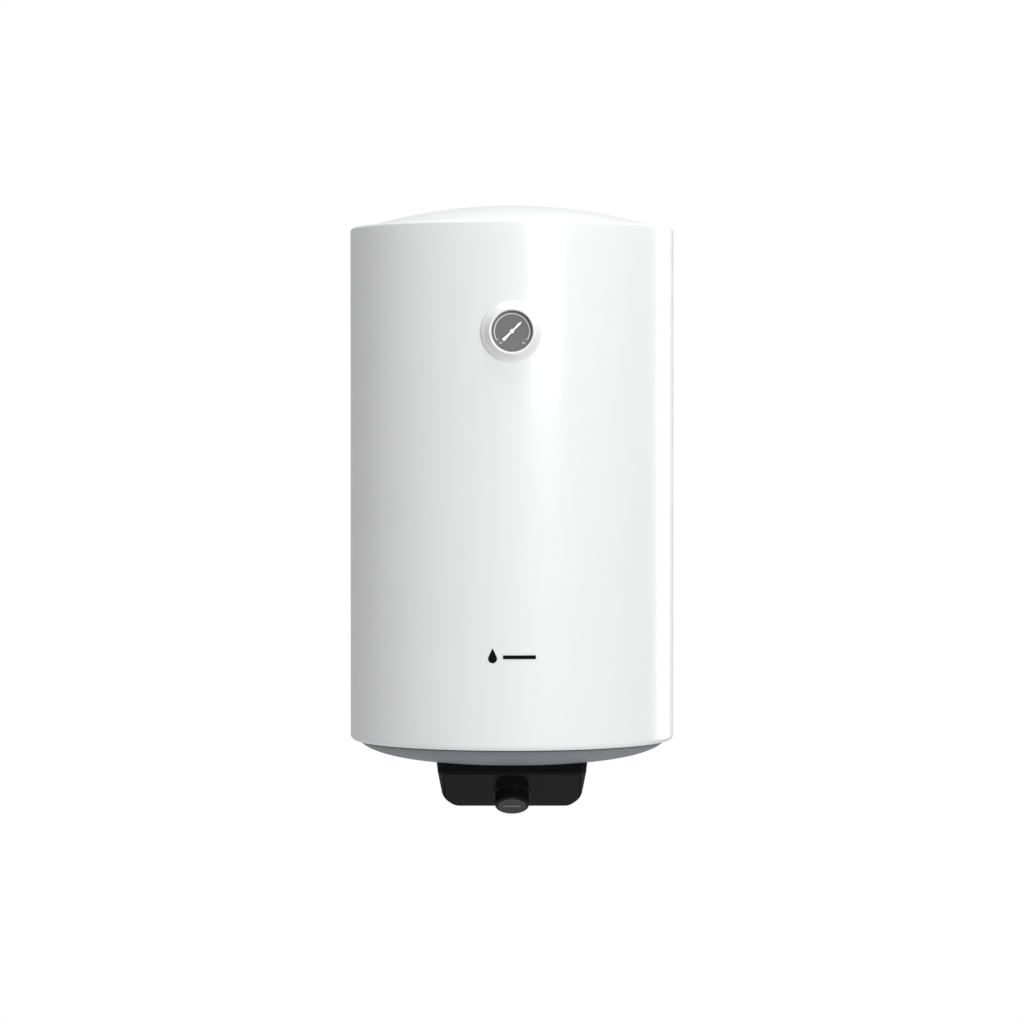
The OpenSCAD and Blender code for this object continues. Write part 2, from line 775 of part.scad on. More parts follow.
module wire_neutral() {
    foot = [1.5 * element_pitch, element_y, plate_face - 18];
    color("royalblue") wire([[block_at[0], block_at[1], -40], [block_at[0], block_at[1], -49],
        [74, 6, -55], [56, -4, -54], [36, -14, -53], foot - [0, 0, 6], foot - [0, 0, end_gap]], 2.6);
}

module wire_earth() {
    foot = [earth_at[0], earth_at[1], plate_face - 5];
    color("yellowgreen") wire([[block_at[0], block_at[1] + 12, -40], [block_at[0], block_at[1] + 12, -49],
        [76, 26, -54], [58, 32, -50], [44, 24, -44], foot - [0, 0, 6], foot - [0, 0, end_gap]], 2.6);
}

module wire_link() {
    side = on_panel_point(-thermostat_w / 2, -8);
    foot = [-1.5 * element_pitch, element_y, plate_face - 18];
    color("saddlebrown") wire([side - [end_gap, 0, 0], side - [7, 0, 0], [-38, -32, -60], [-41, -22, -57],
        [-33, -19, -53], foot - [0, 0, 6], foot - [0, 0, end_gap]], 2.6);
}

module earth_screw() {
    color("silver") translate([earth_at[0], earth_at[1], plate_face - 5]) cylinder(r = 3.5, h = 5);
}

// ---- gauge ----

module gauge_boss() {
    rim_r = glass_r + 3.6;
    color("white") difference() {
        on_gauge() difference() {
            rotate_extrude() polygon([[0, -jacket_r / 6], [boss_d / 2, -jacket_r / 6], [boss_d / 2, 0.6],
                [boss_d / 2 - 1.2, 2.2], [rim_r + 1, boss_h - 1.2], [rim_r - 0.4, boss_h], [0, boss_h]]);
            translate([0, 0, -jacket_r]) cylinder(r = case_r + close_fit, h = 2 * jacket_r);
            translate([0, 0, boss_h - lens_t]) cylinder(r = glass_r + 1.4, h = 10);
        }
        difference() {
            cylinder(r = jacket_r + close_fit, h = jacket_h, $fn = fine);
            on_gauge() translate([0, 0, case_back]) cylinder(r = neck_r, h = 40);
        }
    }
}

// Spring ring that grips the boss's neck behind the jacket.
module gauge_clip() {
    color("silver") on_gauge() translate([0, 0, clip_seat - 1.5]) tube(clip_r, neck_r + close_fit, 1.5);
}

module gauge_case() {
    color("gold") on_gauge() translate([0, 0, case_back]) difference() {
        cylinder(r = case_r, h = dial_face - 0.8 - case_back);
        translate([0, 0, 1.5]) cylinder(r = case_r - 0.8, h = 40);
        translate([0, 0, 0.6]) cylinder(r = 0.9 + turn_fit, h = 5);
    }
}

module gauge_dial() {
    color("dimgray") on_gauge() translate([0, 0, dial_face - 0.8]) tube(case_r, 1.2, 0.8);
}

module gauge_bezel() {
    color("white") on_gauge() rotate_extrude() polygon(concat(
        [[glass_r, boss_h], [glass_r + 3.4, boss_h]],
        arc(glass_r + 2, boss_h + 1.2, 1.4, 0, 90, 4),
        [[glass_r + 0.8, boss_h + 2.4], [glass_r, boss_h + 0.8]]));
}

module gauge_lens() {
    color("lightblue", 0.4) on_gauge() translate([0, 0, boss_h - lens_t + 0.05])
        cylinder(r = glass_r + 1.3, h = lens_t - 0.1);
}

// Outline of the needle pointing up, with a broad tail and a pointed tip.
module needle_outline() {
    tip = glass_r * 0.665;
    tail = glass_r * 0.61;
    polygon([[0, tip], [1.7, tip - 5], [1.1, 1.5], [1.1, -1.5], [2.2, -tail], [-2.2, -tail],
        [-1.1, -1.5], [-1.1, 1.5], [-1.7, tip - 5]]);
}

module gauge_pointer() {
    color("white") on_gauge() rotate([0, 0, -45]) translate([0, 0, dial_face + 0.8]) difference() {
        union() {
            linear_extrude(height = 0.6) needle_outline();
            cylinder(r = 3, h = 1.1);
        }
        translate([0, 0, -1]) cylinder(r = 0.92, h = 4);
    }
}

module gauge_spindle() {
    color("silver") on_gauge() translate([0, 0, case_back + 0.8])
        cylinder(r = 0.9, h = dial_face + 2 - case_back - 0.8);
}

// Bimetal spiral that turns the needle's spindle.
module gauge_coil() {
    turns = 4;
    steps = 24 * turns;
    inner = [for (i = [0 : steps]) let (r = 2 + i * 0.12, a = i * 15) [r * cos(a), r * sin(a)]];
    outer = [for (i = [steps : -1 : 0]) let (r = 2.5 + i * 0.12, a = i * 15) [r * cos(a), r * sin(a)]];
    color("goldenrod") on_gauge() translate([0, 0, case_back + 1.5]) linear_extrude(height = 6)
        polygon(concat(inner, outer));
}

module gauge_probe() {
    color("peru") difference() {
        on_gauge() translate([0, 0, tank_r - jacket_r - 2])
            cylinder(r = 4, h = jacket_r - tank_r + 2 + case_back);
        tank_solid();
    }
}

// ---- wall brackets ----

// Hat-shaped steel strip: its web lies against the jacket, its ears against the wall.
module bracket() {
    web = 75;
    ear = slot_spacing / 2 + slot_l / 2 + 18;
    web_y = jacket_r + web_stand;
    difference() {
        translate([0, 0, -bracket_h / 2]) linear_extrude(height = bracket_h) polygon([
            [-ear, wall_y], [-web, wall_y], [-web, web_y + bracket_t], [web, web_y + bracket_t],
            [web, wall_y], [ear, wall_y], [ear, wall_y - bracket_t], [web + bracket_t, wall_y - bracket_t],
            [web + bracket_t, web_y], [-web - bracket_t, web_y], [-web - bracket_t, wall_y - bracket_t],
            [-ear, wall_y - bracket_t]]);
        for (side = [-1, 1]) translate([side * slot_spacing / 2, wall_y - 10, 0]) rotate([-90, 0, 0])
            linear_extrude(height = 20) union() {
                for (x = [-1, 1]) translate([x * (slot_l - slot_w) / 2, 0]) circle(d = slot_w);
                square([slot_l - slot_w, slot_w], center = true);
            }
        for (x = [-bolt_x, bolt_x]) translate([x, web_y - 5, 0]) rotate([-90, 0, 0])
            cylinder(r = bolt_d / 2 + close_fit, h = bracket_t + 10);
    }
}

module upper_bracket() {
    color("gainsboro") translate([0, 0, bracket_z]) bracket();
}

module lower_bracket() {
    color("gainsboro") translate([0, 0, lower_bracket_z]) bracket();
}

// Studs welded to the tank, which pass through the foam and the jacket.
module bracket_bolts() {
    tip = jacket_r + web_stand + bracket_t + 8.5;
    color("silver") difference() {
        intersection() {
            bracket_bolt_holes(bolt_d / 2);
            translate([-far, 0, 0]) cube([2 * far, tip, jacket_h]);
        }
        tank_solid();
    }
}

// Sleeves between the jacket and the bracket's web, cut to the jacket's curve.
module bracket_spacers() {
    web_y = jacket_r + web_stand;
    color("dimgray") difference() {
        upper_and_lower() for (x = [-bolt_x, bolt_x]) translate([x, web_y - 16, 0]) rotate([-90, 0, 0])
            tube(9, bolt_d / 2 + close_fit, 16);
        cylinder(r = jacket_r + close_fit, h = jacket_h, $fn = fine);
    }
}

module bracket_nuts() {
    color("silver") upper_and_lower() for (x = [-bolt_x, bolt_x])
        translate([x, jacket_r + web_stand + bracket_t, 0]) rotate([-90, 0, 0])
            hex_nut(13, nut_h, bolt_d / 2 + close_fit);
}

// ---- badge ----

// Plain generic mark: a water drop beside a slim bar, lying on the jacket's curve.
module badge() {
    color("black") intersection() {
        difference() {
            cylinder(r = jacket_r + 0.6, h = jacket_h, $fn = fine);
            translate([0, 0, -1]) cylinder(r = jacket_r + 0.02, h = jacket_h + 2, $fn = fine);
        }
        translate([0, 0, badge_z]) rotate([90, 0, 0]) linear_extrude(height = far) union() {
            translate([-26, -2]) circle(r = 6);
            translate([-26, 0]) polygon([[-5.4, 0.6], [0, 12], [5.4, 0.6]]);
            translate([-12, -2.5]) square([44, 5]);
        }
    }
}

module hang() {
    translate([0, -wall_y, -bracket_z]) children();
}

hang() jacket();
hang() top_cap();
hang() bottom_cap();
hang() foam_insulation();
hang() foam_plug();
hang() inner_tank();
hang() flange_ring();
hang() flange_studs();
hang() flange_nuts();
hang() flange_gasket();
hang() heater_flange();
hang() heating_element();
hang() element_terminals();
hang() anode_rod();
hang() anode_nut();
hang() sensor_well();
hang() sensor_bulb();
hang() sensor_capillary();
hang() cold_nipple();
hang() hot_nipple();
hang() cold_diffuser();
hang() hot_outlet_tube();
hang() cold_collar();
hang() hot_collar();
hang() thermal_cutout();
hang() reset_button();
hang() thermostat();
hang() thermostat_screws();
hang() thermostat_spindle();
hang() control_knob();
hang() knob_cap();
hang() knob_dial_plate();
hang() terminal_cover();
hang() fascia();
hang() cover_screws();
hang() cable_gland();
hang() gland_locknut();
hang() terminal_block();
hang() wire_live();
hang() wire_neutral();
hang() wire_earth();
hang() wire_link();
hang() earth_screw();
hang() gauge_boss();
hang() gauge_clip();
hang() gauge_case();
hang() gauge_dial();
hang() gauge_bezel();
hang() gauge_lens();
hang() gauge_pointer();
hang() gauge_spindle();
hang() gauge_coil();
hang() gauge_probe();
hang() upper_bracket();
hang() lower_bracket();
hang() bracket_bolts();
hang() bracket_spacers();
hang() bracket_nuts();
hang() badge();
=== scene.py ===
import json
import math
import bmesh
import bpy
import numpy as np
from mathutils import Matrix, Vector


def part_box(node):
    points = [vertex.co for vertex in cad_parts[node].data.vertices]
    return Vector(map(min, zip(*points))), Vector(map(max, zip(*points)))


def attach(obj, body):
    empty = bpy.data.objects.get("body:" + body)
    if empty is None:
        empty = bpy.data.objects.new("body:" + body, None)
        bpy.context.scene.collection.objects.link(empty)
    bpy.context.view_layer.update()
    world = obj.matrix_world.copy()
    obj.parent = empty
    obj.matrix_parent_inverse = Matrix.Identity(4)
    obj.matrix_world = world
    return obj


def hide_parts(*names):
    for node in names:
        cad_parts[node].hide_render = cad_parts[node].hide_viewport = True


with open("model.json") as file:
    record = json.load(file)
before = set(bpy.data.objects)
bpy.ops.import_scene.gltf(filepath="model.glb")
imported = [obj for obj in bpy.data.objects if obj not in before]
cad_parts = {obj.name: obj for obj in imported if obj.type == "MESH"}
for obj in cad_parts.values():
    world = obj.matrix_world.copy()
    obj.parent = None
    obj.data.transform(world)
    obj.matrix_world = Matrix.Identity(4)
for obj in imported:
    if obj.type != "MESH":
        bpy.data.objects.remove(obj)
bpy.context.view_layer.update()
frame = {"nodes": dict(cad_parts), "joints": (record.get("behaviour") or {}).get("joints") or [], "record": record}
nodes = frame["nodes"]
mm = 0.001
mergeWithin = 1e-6      # metres
leastArea = 1e-13       # square metres


def boxOf(name):
    low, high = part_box(name)
    return np.array(low) / mm, np.array(high) / mm


jacketLow, jacketHigh = boxOf("jacket")
axisX = 0.0
axisY = float(jacketHigh[1] + jacketLow[1]) / 2
bottomZ = float(jacketLow[2])
jacketRadius = float(jacketHigh[1] - jacketLow[1]) / 2
jacketHeight = float(jacketHigh[2] - jacketLow[2])
bezelLow, bezelHigh = boxOf("gauge_bezel")
gaugeZ = float(bezelLow[2] + bezelHigh[2]) / 2
joints = {joint["name"]: joint for joint in frame["joints"]}
knobPoint = np.array(joints["knob_turn"]["pos_m"]) / mm
knobAxis = np.array(joints["knob_turn"]["axis"], float)
knobAxis /= np.linalg.norm(knobAxis)
coverLow, coverHigh = boxOf("terminal_cover")
print("frame read: jacket radius", round(jacketRadius, 1), "height", round(jacketHeight, 1))


# Four corners per face on a grid of rows by columns; a wrapped direction joins its last line to its first.
def gridFaces(rows, columns, wrapRows=False, wrapColumns=True):
    r = np.arange(rows if wrapRows else rows - 1)[:, None]
    c = np.arange(columns if wrapColumns else columns - 1)[None, :]
    r2, c2 = (r + 1) % rows, (c + 1) % columns
    corners = [r * columns + c, r * columns + c2, r2 * columns + c2, r2 * columns + c]
    return np.stack(corners, -1).reshape(-1, 4)


def linked(name, data):
    item = bpy.data.objects.new(name, data)
    bpy.context.scene.collection.objects.link(item)
    return item


def finishShading(mesh, smoothAngle):
    mesh.shade_smooth()
    mesh.set_sharp_from_angle(angle=math.radians(smoothAngle))


def closeWork(name, mesh, work, smoothAngle):
    work.to_mesh(mesh)
    work.free()
    finishShading(mesh, smoothAngle)
    return linked(name, mesh)


# Corners given in millimetres become a piece in metres; doubles merge, normals are made to face out.
def pieceFrom(name, points, faces, smoothAngle=35, recalculate=True):
    mesh = bpy.data.meshes.new(name)
    corners = (np.asarray(points, float).reshape(-1, 3) * mm).tolist()
    mesh.from_pydata(corners, [], [list(face) for face in faces])
    work = bmesh.new()
    work.from_mesh(mesh)
    bmesh.ops.remove_doubles(work, verts=work.verts, dist=mergeWithin)
    flat = [face for face in work.faces if face.calc_area() < leastArea]
    bmesh.ops.delete(work, geom=flat, context="FACES_ONLY")
    if recalculate:
        bmesh.ops.recalc_face_normals(work, faces=work.faces)
    return closeWork(name, mesh, work, smoothAngle)


# Each corner of a closed outline becomes a curve that leaves one side and joins the next:
# (1-s)^2 A + 2 s (1-s) P + s^2 B, where A and B lie up to `cut` away from the corner P.
def softened(outline, cut, steps=4):
    p = np.asarray(outline, float)
    before, after = np.roll(p, 1, 0) - p, np.roll(p, -1, 0) - p
    room = np.minimum(np.linalg.norm(before, axis=1), np.linalg.norm(after, axis=1)) * 0.45
    cut = np.minimum(np.broadcast_to(cut, room.shape), room)[:, None]
    a = p + before / np.linalg.norm(before, axis=1)[:, None] * cut
    b = p + after / np.linalg.norm(after, axis=1)[:, None] * cut
    s = np.linspace(0, 1, steps)[None, :, None]
    curve = (1 - s) ** 2 * a[:, None] + 2 * s * (1 - s) * p[:, None] + s ** 2 * b[:, None]
    return curve.reshape(-1, 2)


# A frame of three directions at a point: local z along the given axis, local x near the row's x.
class Place:
    def __init__(self, point, zAxis, xAxis=(1, 0, 0)):
        self.point = np.asarray(point, float)
        self.z = np.asarray(zAxis, float) / np.linalg.norm(zAxis)
        x = np.asarray(xAxis, float) - np.dot(xAxis, self.z) * self.z
        self.x = x / np.linalg.norm(x)
        self.y = np.cross(self.z, self.x)

    def put(self, local):
        local = np.asarray(local, float)
        return self.point + local[..., 0:1] * self.x + local[..., 1:2] * self.y + local[..., 2:3] * self.z


def uprightAt(x, y):
    return Place((axisX + x, axisY + y, bottomZ), (0, 0, 1))


tankPlace = uprightAt(0, 0)
gaugePlace = Place((axisX, axisY - jacketRadius, gaugeZ), (0, -1, 0))
knobPlace = Place(knobPoint, knobAxis)


def roundAngles(segments):
    return np.linspace(0, 2 * np.pi, segments, endpoint=False)


# Each value repeated once for every segment of a ring.
def roundRing(values, segments):
    return np.repeat(np.asarray(values, float)[:, None], segments, 1)


# A closed profile of (radius, height) turned about local z: x = r cos a, y = r sin a, z = h.
def latheGrid(profile, segments):
    profile, angle = np.asarray(profile, float), roundAngles(segments)
    return np.stack([profile[:, :1] * np.cos(angle), profile[:, :1] * np.sin(angle),
                     roundRing(profile[:, 1], segments)], -1)


def latheParts(profile, place, segments=96):
    grid = latheGrid(profile, segments)
    return place.put(grid).reshape(-1, 3), gridFaces(len(profile), segments, wrapRows=True)


# A closed grid of rings about a place's axis; each row is a height and a radius that may vary round it.
def ringParts(radius, height, place, segments):
    angle = roundAngles(segments)
    height = np.broadcast_to(np.asarray(height, float).reshape(len(radius), -1), radius.shape)
    grid = np.stack([radius * np.cos(angle), radius * np.sin(angle), height], -1)
    return place.put(grid).reshape(-1, 3), gridFaces(len(radius), segments, wrapRows=True)


# Height of a screw thread: a triangle wave, from 0 to 1, of z / pitch less the share of a turn.
def threadWave(z, start, pitch, segments):
    phase = (z[:, None] - start) / pitch - roundAngles(segments)[None] / (2 * np.pi)
    return np.abs(2 * (phase - np.floor(phase + 0.5)))


# A closed outline (n, 2) raised between two heights, its edges rounded by insets that shrink it
# along its own normals: ring k is outline - normal * inset k at height k.
def slabParts(outline, low, high, edge, place, steps=4):
    p = np.asarray(outline, float)
    tangent = np.roll(p, -1, 0) - np.roll(p, 1, 0)
    normal = np.stack([tangent[:, 1], -tangent[:, 0]], -1)
    normal /= np.maximum(np.linalg.norm(normal, axis=1), 1e-9)[:, None]
    area = np.sum(p[:, 0] * np.roll(p[:, 1], -1) - np.roll(p[:, 0], -1) * p[:, 1])
    normal *= np.sign(area)
    turn = np.linspace(0, np.pi / 2, steps)
    inset = np.concatenate([edge * (1 - np.sin(turn)), edge * (1 - np.cos(turn))])
    level = np.concatenate([low + edge * (1 - np.cos(turn)), high - edge * (1 - np.sin(turn))])
    rings = p[None] - normal[None] * inset[:, None, None]
    grid = np.concatenate([rings, np.broadcast_to(level[:, None, None], rings.shape[:2] + (1,))], -1)
    rows, n = len(level), len(p)
    faces = gridFaces(rows, n).tolist()
    faces += [list(range(n))[::-1], [(rows - 1) * n + k for k in range(n)]]
    return place.put(grid).reshape(-1, 3), faces


# Several (points, faces) parts as one piece.
def joined(name, parts, smoothAngle=35):
    points, faces, count = [], [], 0
    for partPoints, partFaces in parts:
        points.append(np.asarray(partPoints, float).reshape(-1, 3))
        faces += [[int(v) + count for v in face] for face in partFaces]
        count += len(points[-1])
    return pieceFrom(name, np.concatenate(points), faces, smoothAngle)


def turned(name, profile, place, segments, smoothAngle):
    return joined(name, [latheParts(profile, place, segments)], smoothAngle)


# Points of a circle or an arc.
def arcPoints(centreX, centreY, radius, fromDeg, toDeg, steps=8):
    a = np.radians(np.linspace(fromDeg, toDeg, steps))
    return np.stack([centreX + radius * np.cos(a), centreY + radius * np.sin(a)], -1)


# Sheet thickness comes from Solidify, and a small bevel rounds the edges.
def thicken(piece, thickness, offset, rounding, evenOffset=False):
    sheet = piece.modifiers.new("sheet", "SOLIDIFY")
    sheet.thickness, sheet.offset, sheet.use_even_offset = thickness * mm, offset, evenOffset
    bevel = piece.modifiers.new("rounding", "BEVEL")
    bevel.width, bevel.segments, bevel.limit_method = rounding * mm, 3, "ANGLE"
    bevel.angle_limit = math.radians(50)
    return piece


# A piece gets its finish, the body it rides on, its slot and the CAD nodes that it stands for.
def dress(piece, body, slotName, *replaced, surface=None):
    piece.data.materials.clear()
    piece.data.materials.append(surface or slotSurfaces[slotName])
    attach(piece, body)
    if replaced:
        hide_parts(*replaced)


class Tree:
    def __init__(self, tree):
        self.tree = tree
        self.across = 0

    def add(self, kind, sockets=None, **settings):
        node = self.tree.nodes.new(kind)
        self.across += 180
        node.location = (self.across, 0)
        for key, value in settings.items():
            setattr(node, key, value)
        for key, value in (sockets or {}).items():
            self.feed(node.inputs[key], value)
        return node

    # A socket takes a link from another node, or a plain value.
    def feed(self, slot, value):
        if isinstance(value, bpy.types.NodeSocket):
            self.tree.links.new(value, slot)
        elif slot.type == "RGBA":
            slot.default_value = (*value, 1.0)
        else:
            slot.default_value = value

    def maths(self, operation, a, b=None):
        sockets = {0: a} if b is None else {0: a, 1: b}
        return self.add("ShaderNodeMath", sockets, operation=operation).outputs[0]

    def weighed(self, first, second):
        return self.maths("ADD", self.maths("MULTIPLY", first, 0.7), self.maths("MULTIPLY", second, 0.3))

    def noise(self, vector, scale, detail=2.0, roughness=0.5):
        sockets = {"Vector": vector, "Scale": scale, "Detail": detail, "Roughness": roughness}
        return self.add("ShaderNodeTexNoise", sockets).outputs["Fac"]

    def blendColour(self, factor, first, second):
        return self.add("ShaderNodeMix", {0: factor, 6: first, 7: second}, data_type="RGBA").outputs[2]

    def blendShader(self, factor, first, second):
        return self.add("ShaderNodeMixShader", {0: factor, 1: first, 2: second}).outputs[0]


# A shader group: a vector and named numbers go in, masks and heights come out.
def newGroup(name, inputs, outputs):
    group = bpy.data.node_groups.new(name, "ShaderNodeTree")
    group.interface.new_socket(name="Vector", in_out="INPUT", socket_type="NodeSocketVector")
    for label, value in inputs.items():
        socket = group.interface.new_socket(name=label, in_out="INPUT", socket_type="NodeSocketFloat")
        socket.default_value = value
    for label in outputs:
        group.interface.new_socket(name=label, in_out="OUTPUT", socket_type="NodeSocketFloat")
    tree = Tree(group)
    return tree, tree.add("NodeGroupInput").outputs


# Fine moulded or painted grain: two noises, one at the given scale and one three times finer,
# give a height, and a slow third one gives the patches where the finish is a little duller.
def buildGrain():
    tree, given = newGroup("surfaceGrain", {"Scale": 900.0, "Roughness Low": 0.3, "Roughness High": 0.4},
                           ["Height", "Roughness", "Patch"])
    coarse = tree.noise(given["Vector"], given["Scale"])
    fine = tree.noise(given["Vector"], tree.maths("MULTIPLY", given["Scale"], 3.1), 1.0)
    slow = tree.noise(given["Vector"], 14.0, 3.0, 0.6)
    spread = tree.add("ShaderNodeMapRange", {"Value": slow, "From Min": 0.3, "From Max": 0.7})
    patch = spread.outputs["Result"]
    mix = tree.add("ShaderNodeMix", {0: patch, 2: given["Roughness Low"], 3: given["Roughness High"]},
                   data_type="FLOAT")
    tree.add("NodeGroupOutput", {"Height": tree.weighed(coarse, fine), "Roughness": mix.outputs[0],
                                 "Patch": patch})
    return tree.tree


# Rings about local z of a mapped vector: the distance from the axis goes through a sine,
# broken up by noise, and gives the height of a turned or spun face.
def buildRings():
    tree, given = newGroup("turnedRings", {"Rings Per Metre": 2500.0}, ["Height"])
    split = tree.add("ShaderNodeSeparateXYZ", {0: given["Vector"]}).outputs
    square = tree.maths("ADD", tree.maths("MULTIPLY", split[0], split[0]),
                        tree.maths("MULTIPLY", split[1], split[1]))
    turns = tree.maths("MULTIPLY", tree.maths("SQRT", square), given["Rings Per Metre"])
    sine = tree.maths("SINE", tree.maths("MULTIPLY", turns, 6.2832))
    wave = tree.maths("MULTIPLY", tree.maths("ADD", sine, 1.0), 0.5)
    height = tree.maths("MULTIPLY", wave, tree.noise(given["Vector"], 900.0, 1.0))
    tree.add("NodeGroupOutput", {"Height": height})
    return tree.tree


# Zinc spangle: large crystal cells, each with its own lightness, with finer cells inside them.
def buildSpangle():
    tree, given = newGroup("zincSpangle", {"Cells Per Metre": 90.0}, ["Lightness"])
    shades = []
    for scale in (given["Cells Per Metre"], tree.maths("MULTIPLY", given["Cells Per Metre"], 3.7)):
        cells = tree.add("ShaderNodeTexVoronoi", {"Vector": given["Vector"], "Scale": scale})
        shades.append(tree.add("ShaderNodeSeparateXYZ", {0: cells.outputs["Color"]}).outputs[0])
    tree.add("NodeGroupOutput", {"Lightness": tree.weighed(*shades)})
    return tree.tree


grainGroup, ringsGroup, spangleGroup = buildGrain(), buildRings(), buildSpangle()


def emptyMaterial(name):
    material = bpy.data.materials.new(name)
    material.use_nodes = True
    material.node_tree.nodes.clear()
    return material, Tree(material.node_tree)


# Plain values go straight on the shader; grain varies colour, roughness and height over the surface.
# Grain is in cells per metre and its height in millimetres.
def newMaterial(name, colour, roughness=(0.3, 0.36), grainScale=900.0, grainHeight=0.02, shade=0.96,
                metallic=0.0, coat=0.0, coatRoughness=0.05, ior=1.5, turnedAt=None, turnedRings=2500.0,
                darkCells=None):
    material, tree = emptyMaterial(name)
    where = tree.add("ShaderNodeTexCoord").outputs["Object"]
    if turnedAt is not None:
        turn = Matrix((turnedAt.x, turnedAt.y, turnedAt.z)).transposed().to_euler()
        mapping = {"Vector": where, "Location": turnedAt.point * mm, "Rotation": turn}
        where = tree.add("ShaderNodeMapping", mapping, vector_type="TEXTURE").outputs[0]
    grain = tree.add("ShaderNodeGroup", node_tree=grainGroup, sockets={
        "Vector": where, "Scale": grainScale, "Roughness Low": roughness[0],
        "Roughness High": roughness[1]}).outputs
    height = grain["Height"]
    if turnedAt is not None:
        rings = {"Vector": where, "Rings Per Metre": turnedRings}
        height = tree.add("ShaderNodeGroup", rings, node_tree=ringsGroup).outputs["Height"]
    if darkCells:
        cells = tree.add("ShaderNodeGroup", {"Vector": where}, node_tree=spangleGroup).outputs["Lightness"]
        tint = tree.blendColour(cells, darkCells, colour)
    else:
        tint = tree.blendColour(grain["Patch"], colour, tuple(channel * shade for channel in colour))
    bump = tree.add("ShaderNodeBump", {"Strength": 0.6, "Distance": grainHeight * mm, "Height": height})
    shader = tree.add("ShaderNodeBsdfPrincipled", {
        "Base Color": tint, "Roughness": grain["Roughness"], "Metallic": metallic, "IOR": ior,
        "Coat Weight": coat, "Coat Roughness": coatRoughness, "Normal": bump.outputs[0]})
    tree.add("ShaderNodeOutputMaterial", {"Surface": shader.outputs[0]})
    return material


# Clear lens: bends light for the camera, and lets lamps through to the dial behind it.
def newLens(name):
    material, tree = emptyMaterial(name)
    glass = tree.add("ShaderNodeBsdfPrincipled", {
        "Base Color": (1, 1, 1), "Roughness": 0.0, "IOR": 1.46, "Transmission Weight": 1.0})
    clear = tree.add("ShaderNodeBsdfTransparent")
    shadow = tree.add("ShaderNodeLightPath").outputs["Is Shadow Ray"]
    surface = tree.blendShader(shadow, glass.outputs[0], clear.outputs[0])
    tree.add("ShaderNodeOutputMaterial", {"Surface": surface})
    return material


# The finish of each slot: colour, roughness from and to, grain scale, grain height.
slotSurfaces = {
    "white_enamel": newMaterial("whiteEnamel", (0.84, 0.845, 0.85), (0.3, 0.36), 420.0, 0.012, shade=0.985,
                                coat=0.25, coatRoughness=0.12),
    "white_plastic": newMaterial("whiteMoulding", (0.86, 0.86, 0.86), (0.26, 0.32), 2200.0, 0.006, 0.985),
    "grey_plastic": newMaterial("greyMoulding", (0.185, 0.2, 0.222), (0.42, 0.5), 2600.0, 0.02, 0.95),
    "black_plastic": newMaterial("blackSatin", (0.0045, 0.0045, 0.005), (0.36, 0.44), 2600.0, 0.02, 0.85,
                                 ior=1.21),
    "black_gloss": newMaterial("blackGloss", (0.0064, 0.0064, 0.007), (0.11, 0.15), 300.0, 0.002, 0.9,
                               ior=1.135),
    "satin_grey": newMaterial("knobFaceGrey", (0.032, 0.032, 0.035), (0.38, 0.44), grainHeight=0.01,
                              turnedAt=knobPlace, turnedRings=2200.0, ior=1.3),
    "dial_grey": newMaterial("dialGrey", (0.1, 0.1, 0.102), (0.3, 0.36), grainHeight=0.004,
                             turnedAt=gaugePlace, turnedRings=3000.0),
    "clear_lens": newLens("clearLens"),
    "black_rubber": newMaterial("sealRubber", (0.018, 0.018, 0.018), (0.62, 0.74), 1500.0, 0.03, 0.8),
    "blue_plastic": newMaterial("blueMoulding", (0.012, 0.07, 0.42), (0.34, 0.42), 2400.0),
    "red_plastic": newMaterial("redMoulding", (0.5, 0.012, 0.01), (0.34, 0.42), 2400.0),
    "brown_bakelite": newMaterial("brownBakelite", (0.07, 0.035, 0.018), (0.28, 0.4), shade=0.8),
    "brown_wire": newMaterial("brownSheath", (0.13, 0.05, 0.02), (0.4, 0.5), 1200.0),
    "green_wire": newMaterial("greenSheath", (0.16, 0.36, 0.03), (0.4, 0.5), 1200.0),
    "white_ceramic": newMaterial("whiteCeramic", (0.75, 0.72, 0.65), (0.55, 0.7), 1600.0, 0.03),
    "cream_foam": newMaterial("foamCream", (0.7, 0.58, 0.34), (0.85, 0.95), 700.0, 0.4, 0.85),
    "enamelled_steel": newMaterial("blueGlassCoat", (0.02, 0.035, 0.08), (0.16, 0.28), 160.0, 0.05, 0.7),
    "zinc_steel": newMaterial("zincPlate", (0.62, 0.63, 0.65), (0.26, 0.38), 700.0, 0.01, 0.9, metallic=1.0),
    "galvanised": newMaterial("galvanised", (0.68, 0.69, 0.7), (0.34, 0.46), 500.0, metallic=1.0,
                              darkCells=(0.46, 0.48, 0.5)),
    "magnesium": newMaterial("castMagnesium", (0.5, 0.51, 0.52), (0.5, 0.65), 500.0, 0.08, 0.8, metallic=1.0),
    "copper": newMaterial("copperTube", (0.8, 0.42, 0.27), (0.24, 0.36), 400.0, 0.01, 0.82, metallic=1.0),
    "brass": newMaterial("brassSheet", (0.8, 0.6, 0.28), (0.24, 0.34), 500.0, 0.01, 0.88, metallic=1.0)}

# Finishes of small pieces that differ from the rest of their slot.
knobSatin = newMaterial("knobSatin", (0.0068, 0.0068, 0.0073), (0.26, 0.32), 2600.0, 0.015, 0.85, ior=1.17)
knobEdgeGrey = newMaterial("knobEdgeGrey", (0.075, 0.075, 0.08), grainHeight=0.01, turnedAt=knobPlace,
                           turnedRings=2200.0, ior=1.3)
beadGrey = newMaterial("beadGrey", (0.045, 0.045, 0.047), (0.3, 0.36), 2200.0, 0.01, ior=1.3)
pointerGrey = newMaterial("pointerGrey", (0.13, 0.13, 0.138), (0.35, 0.42), 2200.0, 0.01, ior=1.3)
dialPrint = newMaterial("dialPrint", (0.6, 0.6, 0.6), (0.5, 0.56), 2200.0, 0.004)
print("materials made")

